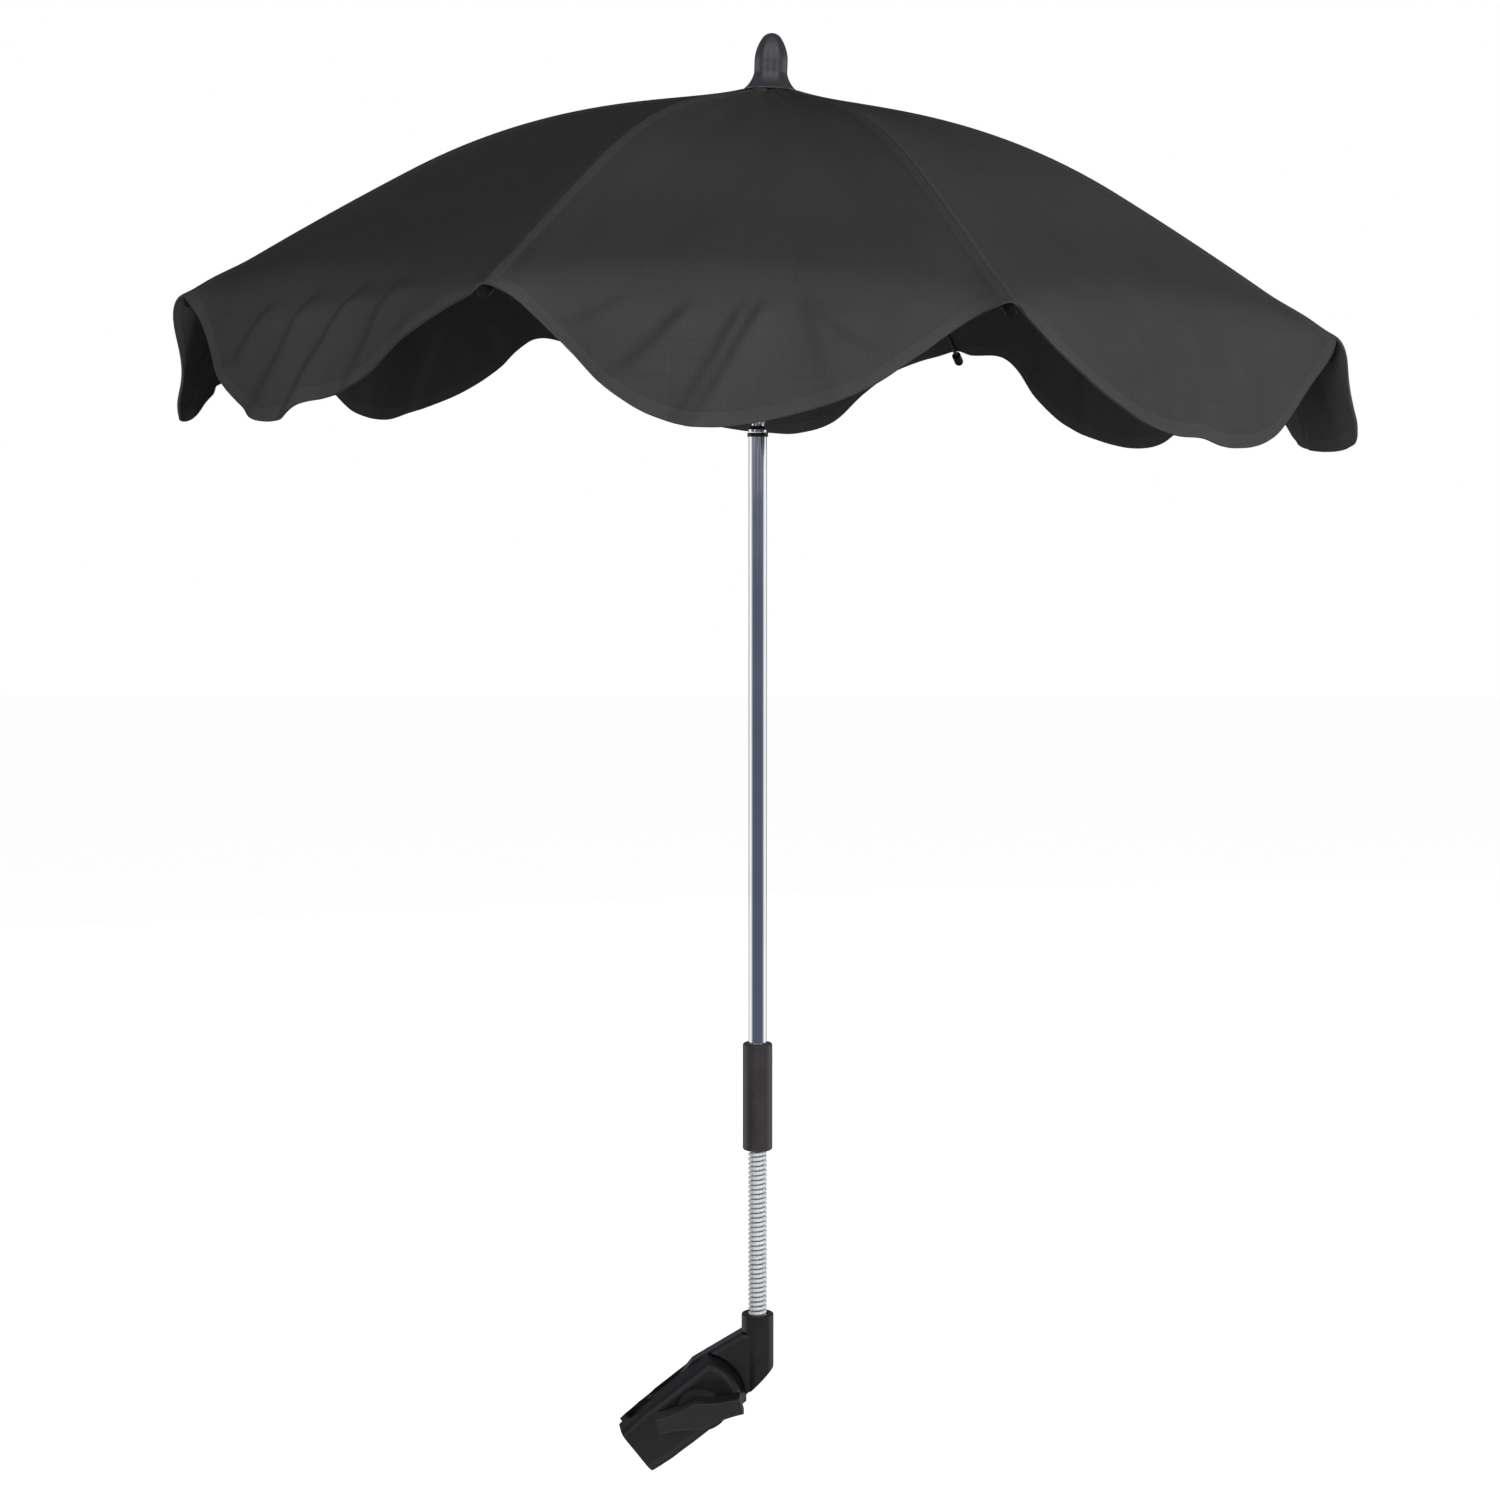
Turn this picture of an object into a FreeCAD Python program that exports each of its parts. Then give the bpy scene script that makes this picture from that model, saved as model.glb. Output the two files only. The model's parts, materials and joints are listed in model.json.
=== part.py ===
"""Pram parasol: clamp, gooseneck, pole and an eight-rib folding canopy with a scalloped valance.

Millimetres, +Z up. The origin is the middle of the pram tube that the clamp grips.
The viewer of the open parasol stands on the -Y side.
"""
import math
import os

import FreeCAD
import Part

V = FreeCAD.Vector
ACROSS = V(0, 1, 0)
UP = V(0, 0, 1)

# Shared fits
overrun = 1.0
running_clearance = 0.08
seat_clearance = 0.04
body_clearance = 0.3

# Clamp jaws, laid out along the line from the pram tube to the clamp bolt
tube_diameter = 22.0
tube_to_bolt = 31.0
jaw_slope = 38.5
jaw_width = 38.5
jaw_offset = 1.5
jaw_tail = 16.6
jaw_tail_taper = 1.4
jaw_tail_taper_length = 14.0
jaw_head = 29.2
jaw_head_radius = 30.0
jaw_depth = 13.0
jaw_draft = 3.6
jaw_round = 6.0
pad_thickness = 2.0
pad_margin = 0.5

# Clamp bolt and wing nut
bolt_diameter = 8.0
bolt_head_diameter = 15.0
bolt_head_height = 5.0
boss_diameter = 26.0
boss_height = 6.5
wing_span = 53.0
wing_height = 18.0
wing_end_height = 10.5
wing_depth = 13.0
wing_tilt = 14.0
wing_round = 1.6
nut_cap = 4.0

# Elbow arm
disc_to_tube = 1.0
disc_thickness = 11.0
web_top_back = 4.7
web_top_rise = 24.5
elbow_depth = 17.0
socket_diameter = 19.5
socket_height = 33.0
socket_to_bolt_rise = 53.4
pole_to_bolt = 35.2
shoulder_drop = 10.8
elbow_heel = 16.0
elbow_round = 3.5
rim_depth = 3.0
rim_round = 1.0
rim_diameter = 12.6

# Gooseneck
neck_length = 100.9
coil_diameter = 11.4
wire_diameter = 2.25
coil_turns_each = 18
core_diameter = 6.2
core_grip = 12.0

# Grip and pole
grip_diameter = 18.0
grip_length = 65.7
grip_round = 1.5
pole_diameter = 11.0
pole_wall = 1.0
pole_length = 418.0
ferrule_diameter = 12.4
ferrule_height = 2.4
ferrule_plug_length = 14.0

# Canopy shaft, leaning about the neck point just above the ferrule
canopy_lean = 2.1
canopy_turn = -1.5
neck_rise = 4.1
neck_flare_height = 3.0
neck_waist_diameter = 7.6
shaft_diameter = 9.0
shaft_spigot = 21.5
catch_groove_width = 3.6
catch_groove_depth = 1.0

# Top notch and ring
pivot_height = 185.0
pivot_radius = 10.0
notch_diameter = 28.0
notch_height = 8.0
notch_slot_floor = 6.6
ring_wire = 2.0

# Ribs, bowed: a round shoulder, then a flatter run to the tip
rib_count = 8
rib_diameter = 2.4
rib_root_radius = 20.0
rib_bow_radius = 390.0
rib_bow_angle = 30.0
rib_run_radius = 2095.0
rib_run_angle = 4.0
blade_thickness = 1.6
blade_height = 4.4
blade_nose = 2.4
tip_cap_diameter = 6.0
tip_cap_length = 10.0
tip_cap_grip = 6.0

# Stretchers and runner
link_length = 80.0
link_angle_open = 80.0
folded_tip_radius = 20.0
link_pin = 2.0
link_eye = 5.2
fork_width = 5.0
fork_slot = 2.2
fork_length = 16.0
fork_height = 4.4
runner_flange_diameter = 27.0
runner_flange_height = 8.0
runner_sleeve_diameter = 14.4
runner_sleeve_length = 17.0
runner_slot = 2.6
catch_diameter = 3.0
catch_head_diameter = 4.2
catch_head_height = 1.8
catch_drop = 12.0
catch_nose_depth = 0.7

# Finial
finial_height = 33.4
finial_diameter = 19.6
finial_flare_diameter = 30.5
finial_flare_height = 10.0
finial_lip = 0.8
finial_dome_height = 17.4
finial_gap = 11.5

# Canopy cloth
cloth_thickness = 1.0
cloth_lift = 2.5
crown_hole_radius = 7.0
crown_rise = 7.4
crown_reach = 32.0
seam_gap = 0.4
gore_station_shares = (0, 0.024, 0.05, 0.08, 0.12, 0.17, 0.23, 0.31, 0.4, 0.5, 0.6, 0.7, 0.8, 0.9, 1)
valance_depth = 58.0
valance_end_depth = 4.0
valance_end_gap = 7.0
valance_gap = 0.3
valance_flare = 8.0
fold_height = 4.0
fold_count = 5
valance_stations = 25

# Places worked out from the sizes above
disc_diameter = 2 * (tube_to_bolt - disc_to_tube) - tube_diameter
jaw_inner = disc_thickness / 2 + body_clearance
jaw_outer = jaw_inner + jaw_depth
bolt_x = tube_to_bolt * math.cos(math.radians(jaw_slope))
bolt_z = tube_to_bolt * math.sin(math.radians(jaw_slope))
pole_x = bolt_x + pole_to_bolt
socket_top = bolt_z + socket_to_bolt_rise
neck_middle = socket_top + neck_length / 2
grip_bottom = socket_top + neck_length
pole_bottom = grip_bottom + core_grip + body_clearance
pole_top = pole_bottom + pole_length
neck_z = pole_top + ferrule_height + neck_rise
neck_point = V(pole_x, 0, neck_z)
rib_pitch = 360.0 / rib_count
half_pitch = math.radians(rib_pitch / 2)
link_drop = link_length * math.cos(math.radians(link_angle_open))
link_radius = pivot_radius + link_length * math.sin(math.radians(link_angle_open))
link_height = pivot_height - link_drop
runner_height = link_height - link_drop
finial_foot = pivot_height + finial_gap
shaft_top = finial_foot + shaft_spigot


def rib_line(length):
    """Radius and height of the rib's centre line at a length along it from its root."""
    bow = min(length, rib_bow_length) / rib_bow_radius
    radius = rib_root_radius + rib_bow_radius * math.sin(bow)
    height = pivot_height - rib_bow_radius * (1 - math.cos(bow))
    if length > rib_bow_length:
        run = bow + (length - rib_bow_length) / rib_run_radius
        radius += rib_run_radius * (math.sin(run) - math.sin(bow))
        height += rib_run_radius * (math.cos(run) - math.cos(bow))
    return radius, height


rib_bow_length = rib_bow_radius * math.radians(rib_bow_angle)
rib_length = rib_bow_length + rib_run_radius * math.radians(rib_run_angle)
tip_radius, tip_height = rib_line(rib_length)
tip_reach = math.hypot(tip_radius - pivot_radius, tip_height - pivot_height)
tip_slope_open = math.atan2(tip_radius - pivot_radius, pivot_height - tip_height)
fold_angle = tip_slope_open - math.asin((folded_tip_radius - pivot_radius) / tip_reach)
link_angle_folded = math.radians(link_angle_open) - fold_angle
runner_travel = 2 * (link_length * math.cos(link_angle_folded) - link_drop)
cloth_end = rib_length - tip_cap_grip - body_clearance
cloth_edge_radius, cloth_edge_rib_height = rib_line(cloth_end)
cloth_edge_height = cloth_edge_rib_height + cloth_lift


def cylinder(diameter, length, base, direction):
    return Part.makeCylinder(diameter / 2, length, base, direction)


def box(x0, x1, y0, y1, z0, z1):
    return Part.makeBox(x1 - x0, y1 - y0, z1 - z0, V(x0, y0, z0))


def prism(points, y0, y1):
    """A straight-sided outline in XZ, carried from y0 to y1."""
    corners = [V(x, y0, z) for x, z in points]
    return Part.Face(Part.makePolygon(corners + corners[:1])).extrude(V(0, y1 - y0, 0))


def revolved(points):
    """A closed outline of (radius, height) points turned about the Z axis."""
    corners = [V(r, 0, z) for r, z in points]
    return Part.Face(Part.makePolygon(corners + corners[:1])).revolve(V(0, 0, 0), UP, 360)


def rounded(shape, radius, chosen):
    edges = [edge for edge in shape.Edges if chosen(edge)]
    return shape.makeFillet(radius, edges)


def in_clamp(shape):
    """From the jaws' own axes (X towards the bolt, Z along the tube) to the part's frame."""
    shape.Placement = FreeCAD.Placement(V(0, 0, 0), FreeCAD.Rotation(ACROSS, -jaw_slope))
    return shape


def in_canopy(shape, turn=0.0):
    """From the canopy's own axes (Z up the shaft from the neck point) to the part's frame."""
    lean = FreeCAD.Placement(neck_point, FreeCAD.Rotation(ACROSS, canopy_lean))
    spin = FreeCAD.Placement(V(0, 0, 0), FreeCAD.Rotation(UP, canopy_turn + turn))
    shape.Placement = lean.multiply(spin).multiply(shape.Placement)
    return shape


def rib_turn(index):
    return (index - 0.5) * rib_pitch


def gore_turn(index):
    return index * rib_pitch


def jaw_outline(y, inset):
    """Outline of a jaw at one depth, drawn in from its widest by an inset except at the tail."""
    half = jaw_width / 2 - inset
    radius = jaw_head_radius - inset
    head_end = tube_to_bolt + jaw_head - inset
    arc_start = head_end - radius + math.sqrt(radius ** 2 - half ** 2)
    taper_end = jaw_tail_taper_length - jaw_tail
    tail_half = half - jaw_tail_taper
    low, high = jaw_offset - half, jaw_offset + half
    corners = [(taper_end, low), (arc_start, low), (arc_start, high), (taper_end, high),
               (-jaw_tail, jaw_offset + tail_half), (-jaw_tail, jaw_offset - tail_half)]
    points = [V(x, y, z) for x, z in corners]
    edges = [Part.makeLine(a, b) for a, b in zip(points, points[1:] + points[:1])]
    edges[1] = Part.Arc(points[1], V(head_end, y, jaw_offset), points[2]).toShape()
    return Part.Wire(edges)


def jaw(side):
    """One jaw, narrower at its outer face: side is 1 at the back and -1 at the front."""
    near, far = side * jaw_inner, side * jaw_outer
    block = Part.makeLoft([jaw_outline(near, 0), jaw_outline(far, jaw_draft)], True, True)

    def on_outer_rim(edge):
        ends = edge.Vertexes
        at_tail = all(abs(v.X + jaw_tail) < seat_clearance for v in ends)
        return not at_tail and all(abs(v.Y - far) < seat_clearance for v in ends)

    block = rounded(block, jaw_round, on_outer_rim)
    groove_diameter = tube_diameter + 2 * pad_thickness
    groove_foot = V(0, 0, jaw_offset - jaw_width / 2 - overrun)
    return block.cut(cylinder(groove_diameter, jaw_width + 2 * overrun, groove_foot, UP))


def pad(side):
    """Rubber lining of one jaw's groove."""
    length = jaw_width - 2 * (jaw_draft + jaw_tail_taper + pad_margin)
    foot = V(0, 0, jaw_offset - length / 2)
    lining = cylinder(tube_diameter + 2 * pad_thickness, length, foot, UP)
    lining = lining.cut(cylinder(tube_diameter, length, foot, UP))
    near, far = sorted((side * jaw_inner, side * jaw_outer))
    return lining.common(box(-tube_diameter, tube_diameter, near, far, foot.z, foot.z + length))


def clamp_parts():
    through = 2 * (jaw_outer + overrun)
    bolt_foot = V(tube_to_bolt, -jaw_outer - overrun, 0)
    rear = jaw(1).cut(cylinder(bolt_diameter + 2 * seat_clearance, through, bolt_foot, ACROSS))
    pocket_floor = jaw_outer - bolt_head_height
    pocket_foot = V(tube_to_bolt, pocket_floor, 0)
    rear = rear.cut(cylinder(bolt_head_diameter + 2 * seat_clearance, jaw_depth, pocket_foot, ACROSS))
    front = jaw(-1).cut(cylinder(bolt_diameter + 2 * body_clearance, through, bolt_foot, ACROSS))
    bolt_tip = jaw_outer + boss_height + wing_depth - nut_cap
    bolt = cylinder(bolt_diameter, bolt_tip + pocket_floor, V(tube_to_bolt, -bolt_tip, 0), ACROSS)
    head = cylinder(bolt_head_diameter, bolt_head_height, pocket_foot, ACROSS)
    hex_key = cylinder(bolt_diameter / 2, bolt_head_height / 2, V(tube_to_bolt, jaw_outer, 0), -ACROSS)
    return {
        "rear_jaw": in_clamp(rear),
        "front_jaw": in_clamp(front),
        "rear_pad": in_clamp(pad(1)),
        "front_pad": in_clamp(pad(-1)),
        "clamp_bolt": in_clamp(bolt.fuse(head).cut(hex_key).removeSplitter()),
    }


def wing_nut():
    """Round boss with a waisted bar across it, drawn about the bolt axis."""
    seat = -jaw_outer - body_clearance
    boss = cylinder(boss_diameter, boss_height, V(0, seat, 0), -ACROSS)
    half, end, reach = wing_height / 2, wing_end_height / 2, wing_span / 2
    waist_share = 0.45
    waist = V(reach * waist_share, 0, end + (half - end) * waist_share / 2)
    corners = [V(0, 0, half), V(reach, 0, end), V(reach, 0, -end), V(0, 0, -half), V(-reach, 0, -end),
               V(-reach, 0, end)]
    bends = [waist, None, V(waist.x, 0, -waist.z), V(-waist.x, 0, -waist.z), None, V(-waist.x, 0, waist.z)]
    edges = []
    for start, bend, stop in zip(corners, bends, corners[1:] + corners[:1]):
        if bend is None:
            edges.append(Part.makeLine(start, stop))
        else:
            edges.append(Part.Arc(start, bend, stop).toShape())
    bar = Part.Face(Part.Wire(edges)).extrude(V(0, -wing_depth, 0))
    bar = rounded(bar, wing_round, lambda e: all(abs(v.Y + wing_depth) < overrun for v in e.Vertexes))
    bar.translate(V(0, seat - boss_height, 0))
    bore_depth = boss_height + wing_depth - nut_cap + overrun
    bore = cylinder(bolt_diameter + 2 * running_clearance, bore_depth, V(0, seat, 0), -ACROSS)
    nut = boss.fuse(bar).cut(bore).removeSplitter()
    nut.Placement = FreeCAD.Placement(V(bolt_x, 0, bolt_z), FreeCAD.Rotation(ACROSS, -wing_tilt))
    return nut


def elbow_arm():
    """Disc gripped between the jaws, a tapered web and the upright socket with its cut-away heel."""
    socket_radius = socket_diameter / 2
    disc_radius = disc_diameter / 2
    bolt = V(bolt_x, 0, bolt_z)
    shoulder = V(pole_x - socket_radius, 0, socket_top - shoulder_drop)
    heel = V(pole_x + socket_radius, 0, socket_top - socket_height)
    toe = heel - V(elbow_heel, 0, elbow_heel)

    def tangent(corner, side):
        """Where a line from the corner touches the disc."""
        away = corner - bolt
        angle = math.atan2(away.z, away.x) + side * math.acos(disc_radius / away.Length)
        return V(bolt_x + disc_radius * math.cos(angle), 0, bolt_z + disc_radius * math.sin(angle))

    brow = bolt + V(-web_top_back, 0, web_top_rise)
    upper, lower = tangent(brow, 1), tangent(toe, -1)
    middle = V(pole_x, 0, heel.z - socket_radius)
    outline = [(v.x, v.z) for v in (upper, brow, shoulder, V(pole_x, 0, shoulder.z), middle, toe, lower)]
    half_disc, half_elbow = disc_thickness / 2, elbow_depth / 2
    disc = cylinder(disc_diameter, disc_thickness, bolt - ACROSS * half_disc, ACROSS)
    web = prism(outline, -half_disc, half_disc)
    body = prism(outline, -half_elbow, half_elbow)
    foot = heel.z - socket_diameter
    socket = cylinder(socket_diameter, socket_top - foot, V(pole_x, 0, foot), UP)
    wedge = [(heel.x, heel.z), (heel.x - socket_diameter, foot), (heel.x, foot)]
    socket = socket.cut(prism(wedge, -socket_radius, socket_radius))
    reach_out = socket_radius + overrun
    head_corners = [v for v in jaw_outline(jaw_inner, 0).Vertexes if v.X > tube_to_bolt]
    swept = max(math.hypot(v.X - tube_to_bolt, v.Z) for v in head_corners) + 2 * body_clearance
    swept_room = cylinder(2 * swept, 2 * reach_out, bolt - ACROSS * reach_out, ACROSS)
    thick = body.fuse(socket).cut(swept_room)
    arm = disc.fuse(web).fuse(thick).removeSplitter()
    bolt_bore = bolt_diameter + 2 * running_clearance
    bolt_hole = cylinder(bolt_bore, 2 * reach_out, bolt - ACROSS * reach_out, ACROSS)
    core_seat = V(pole_x, 0, socket_top - rim_depth - core_grip)
    core_hole = cylinder(core_diameter + 2 * seat_clearance, core_grip + rim_depth, core_seat, UP)
    rim = cylinder(rim_diameter, rim_depth, V(pole_x, 0, socket_top - rim_depth), UP)
    arm = arm.cut(bolt_hole).cut(core_hole).cut(rim)

    def on_upper_edge(edge):
        ends = edge.Vertexes
        on_side = all(abs(abs(v.Y) - half_elbow) < seat_clearance and v.Z > heel.z for v in ends)
        return on_side and isinstance(edge.Curve, Part.Line) and abs(ends[0].X - ends[-1].X) > seat_clearance

    arm = rounded(arm, elbow_round, on_upper_edge)
    return rounded(arm, rim_round, lambda e: all(abs(v.Z - socket_top) < seat_clearance for v in e.Vertexes))


def arc_from(start, tangent, stop):
    """The arc that leaves start along tangent and ends at stop."""
    chord = stop - start
    along = chord * (1 / chord.Length)
    side = tangent - along * tangent.dot(along)
    bulge = chord.Length / 2 * math.tan(math.acos(min(1, tangent.dot(along))) / 2)
    middle = (start + stop) * 0.5 + side * (bulge / side.Length)
    return Part.Arc(start, middle, stop).toShape()


def biarc(start, leave, stop, arrive):
    """Two arcs that meet smoothly between two points with given directions."""
    span = stop - start
    both = leave + arrive
    bend = 2 * (1 - leave.dot(arrive))
    lean = span.dot(both)
    reach = (math.sqrt(lean ** 2 + bend * span.dot(span)) - lean) / bend
    meet = (start + stop + (leave - arrive) * reach) * 0.5
    across = (meet - start).cross(leave)
    first = arc_from(start, leave, meet)
    back = arc_from(stop, arrive * -1, meet)
    last = Part.Arc(meet, back.valueAt((back.FirstParameter + back.LastParameter) / 2), stop).toShape()
    return [first, last] if across.Length else [Part.makeLine(start, stop)]


coil_radius = (coil_diameter - wire_diameter) / 2
coil_pitch = (neck_length / 2 + rim_depth - wire_diameter / 2 - body_clearance) / coil_turns_each


def coil_point(turn, base):
    angle = 2 * math.pi * turn
    out = V(math.cos(angle), math.sin(angle), 0)
    place = V(pole_x, 0, base + coil_pitch * turn) + out * coil_radius
    heading = V(-out.y, out.x, 0) * coil_radius + UP * (coil_pitch / (2 * math.pi))
    return place, heading * (1 / heading.Length)


def coil(base, first_turn, turns):
    """One unbroken winding of the gooseneck, swept along quarter-turn biarcs."""
    quarters = [first_turn + index / 4 for index in range(4 * turns + 1)]
    stations = [coil_point(turn, base) for turn in quarters]
    edges = []
    for (start, leave), (stop, arrive) in zip(stations, stations[1:]):
        edges += biarc(start, leave, stop, arrive)
    place, heading = stations[0]
    section = Part.Wire(Part.makeCircle(wire_diameter / 2, place, heading))
    return Part.Wire(edges).makePipeShell([section], True, False)


def coil_least_gap():
    """Least distance between the wire's surfaces, measured on points of neighbouring turns."""
    steps = 48
    points = [coil_point(index / steps, 0)[0] for index in range(3 * steps)]
    gaps = []
    for index in range(steps // 2):
        for other in range(index + steps // 2, len(points)):
            gaps.append((points[other] - points[index]).Length - wire_diameter)
    return min(gaps)


def gooseneck_parts():
    lower_foot = V(pole_x, 0, socket_top - rim_depth - core_grip + body_clearance)
    lower_length = neck_middle - lower_foot.z
    upper_top = grip_bottom + core_grip
    base = socket_top - rim_depth + wire_diameter / 2 + body_clearance / 2
    turns = coil_turns_each - 1
    return {
        "neck_core_lower": cylinder(core_diameter, lower_length, lower_foot, UP),
        "neck_core_upper": cylinder(core_diameter, upper_top - neck_middle, V(pole_x, 0, neck_middle), UP),
        "neck_coil_lower": coil(base, 0, turns),
        "neck_coil_upper": coil(base, turns + 1, turns),
    }


def mast_parts():
    grip = cylinder(grip_diameter, grip_length, V(pole_x, 0, grip_bottom), UP)
    grip = rounded(grip, grip_round, lambda e: isinstance(e.Curve, Part.Circle))
    pole_foot, grip_foot = V(pole_x, 0, pole_bottom), V(pole_x, 0, grip_bottom)
    grip = grip.cut(cylinder(pole_diameter + 2 * seat_clearance, grip_length, pole_foot, UP))
    grip = grip.cut(cylinder(core_diameter + 2 * seat_clearance, grip_length, grip_foot, UP))
    rim = cylinder(rim_diameter, rim_depth + overrun, V(pole_x, 0, grip_bottom - overrun), UP)
    bore = pole_diameter - 2 * pole_wall
    pole = cylinder(pole_diameter, pole_length, pole_foot, UP)
    pole = pole.cut(cylinder(bore, pole_length, pole_foot, UP))
    ring = cylinder(ferrule_diameter, ferrule_height, V(pole_x, 0, pole_top), UP)
    plug_foot = V(pole_x, 0, pole_top - ferrule_plug_length)
    plug = cylinder(bore - 2 * seat_clearance, ferrule_plug_length, plug_foot, UP)
    ferrule = ring.fuse(plug).removeSplitter()
    return {"grip_sleeve": grip.cut(rim), "pole_tube": pole, "ferrule_plug": ferrule}


def canopy_shaft():
    """Chrome rod with a waisted foot; a groove down one side guides the runner catch."""
    foot = body_clearance - neck_rise
    flare, waist, rod = pole_diameter / 2, neck_waist_diameter / 2, shaft_diameter / 2
    outline = [
        (0, foot),
        (flare, foot),
        (flare, foot + neck_flare_height / 2),
        (waist, 0),
        (waist, neck_flare_height / 2),
        (flare, neck_rise),
        (flare, neck_rise + neck_flare_height),
        (rod, neck_rise + 2 * neck_flare_height),
        (rod, shaft_top),
        (0, shaft_top),
    ]
    groove_top = runner_height
    groove_foot = neck_rise + 2 * neck_flare_height
    groove = box(rod - catch_groove_depth, shaft_diameter, -catch_groove_width / 2, catch_groove_width / 2,
                 groove_foot, groove_top)
    return in_canopy(revolved(outline).cut(groove))


def top_notch():
    """Slotted hub that the rib blades hinge in, with a groove for the ring."""
    half = notch_height / 2
    foot = V(0, 0, pivot_height - half)
    hub = cylinder(notch_diameter, notch_height, foot, UP)
    hub = hub.cut(cylinder(shaft_diameter + 2 * seat_clearance, notch_height, foot, UP))
    groove = ring_wire + 2 * seat_clearance
    channel = cylinder(2 * pivot_radius + groove, half + overrun, V(0, 0, pivot_height), UP)
    channel = channel.cut(cylinder(2 * pivot_radius - groove, half + overrun, V(0, 0, pivot_height), UP))
    hub = hub.cut(channel.fuse(Part.makeTorus(pivot_radius, groove / 2, V(0, 0, pivot_height))))
    width = blade_thickness + 2 * body_clearance
    for index in range(rib_count):
        slot = box(notch_slot_floor, notch_diameter, -width / 2, width / 2, pivot_height - notch_height,
                   pivot_height + notch_height)
        slot.rotate(V(0, 0, 0), UP, rib_turn(index + 1))
        hub = hub.cut(slot)
    return in_canopy(hub)


def runner_parts():
    half = runner_flange_height / 2
    runner = cylinder(runner_flange_diameter, runner_flange_height, V(0, 0, runner_height - half), UP)
    sleeve_foot = V(0, 0, runner_height - runner_sleeve_length)
    runner = runner.fuse(cylinder(runner_sleeve_diameter, runner_sleeve_length, sleeve_foot, UP))
    bore = shaft_diameter + 2 * running_clearance
    runner = runner.cut(cylinder(bore, runner_sleeve_length + runner_flange_height, sleeve_foot, UP))
    slot_floor = runner_sleeve_diameter / 2 + body_clearance
    for index in range(rib_count):
        slot = box(slot_floor, runner_flange_diameter, -runner_slot / 2, runner_slot / 2,
                   runner_height - runner_flange_height, runner_height + runner_flange_height)
        slot.rotate(V(0, 0, 0), UP, rib_turn(index + 1))
        runner = runner.cut(slot)
    level = V(0, 0, runner_height - catch_drop)
    out = V(1, 0, 0)
    catch_hole = catch_diameter + 2 * running_clearance
    runner = runner.cut(cylinder(catch_hole, runner_sleeve_diameter, level, out))
    nose = shaft_diameter / 2 - catch_nose_depth
    head_seat = runner_sleeve_diameter / 2 + seat_clearance
    catch = cylinder(catch_diameter, head_seat - nose, level + out * nose, out)
    catch = catch.fuse(cylinder(catch_head_diameter, catch_head_height, level + out * head_seat, out))
    return {"runner": in_canopy(runner.removeSplitter()), "runner_catch": in_canopy(catch.removeSplitter())}


def finial():
    """Bullet-shaped cap with a flared foot, over the end of the shaft."""
    foot = finial_foot
    top = foot + finial_height
    body, flare = finial_diameter / 2, finial_flare_diameter / 2
    lip = foot + finial_lip
    collar = foot + finial_flare_height
    shoulder = top - finial_dome_height
    crest_share, flank_share = 0.6, 0.9

    def dome(radius_share):
        """A point of the half ellipse that rounds the top."""
        return V(body * radius_share, 0, shoulder + finial_dome_height * math.sqrt(1 - radius_share ** 2))

    crest = dome(crest_share)
    drop = top - crest.z
    cap_radius = (crest.x ** 2 + drop ** 2) / (2 * drop)
    half_angle = math.asin(crest.x / cap_radius) / 2
    cap_middle = V(cap_radius * math.sin(half_angle), 0, top - cap_radius * (1 - math.cos(half_angle)))
    hollow = V((body + flare) / 2 - finial_lip, 0, (lip + collar) / 2 - finial_lip / 2)
    edges = [
        Part.makeLine(V(0, 0, foot), V(flare, 0, foot)),
        Part.makeLine(V(flare, 0, foot), V(flare, 0, lip)),
        Part.Arc(V(flare, 0, lip), hollow, V(body, 0, collar)).toShape(),
        Part.makeLine(V(body, 0, collar), V(body, 0, shoulder)),
        Part.Arc(V(body, 0, shoulder), dome(flank_share), crest).toShape(),
        Part.Arc(crest, cap_middle, V(0, 0, top)).toShape(),
        Part.makeLine(V(0, 0, top), V(0, 0, foot)),
    ]
    cap = Part.Face(Part.Wire(edges)).revolve(V(0, 0, 0), UP, 360)
    depth = shaft_spigot + body_clearance
    return in_canopy(cap.cut(cylinder(shaft_diameter + 2 * seat_clearance, depth, V(0, 0, foot), UP)))


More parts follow.
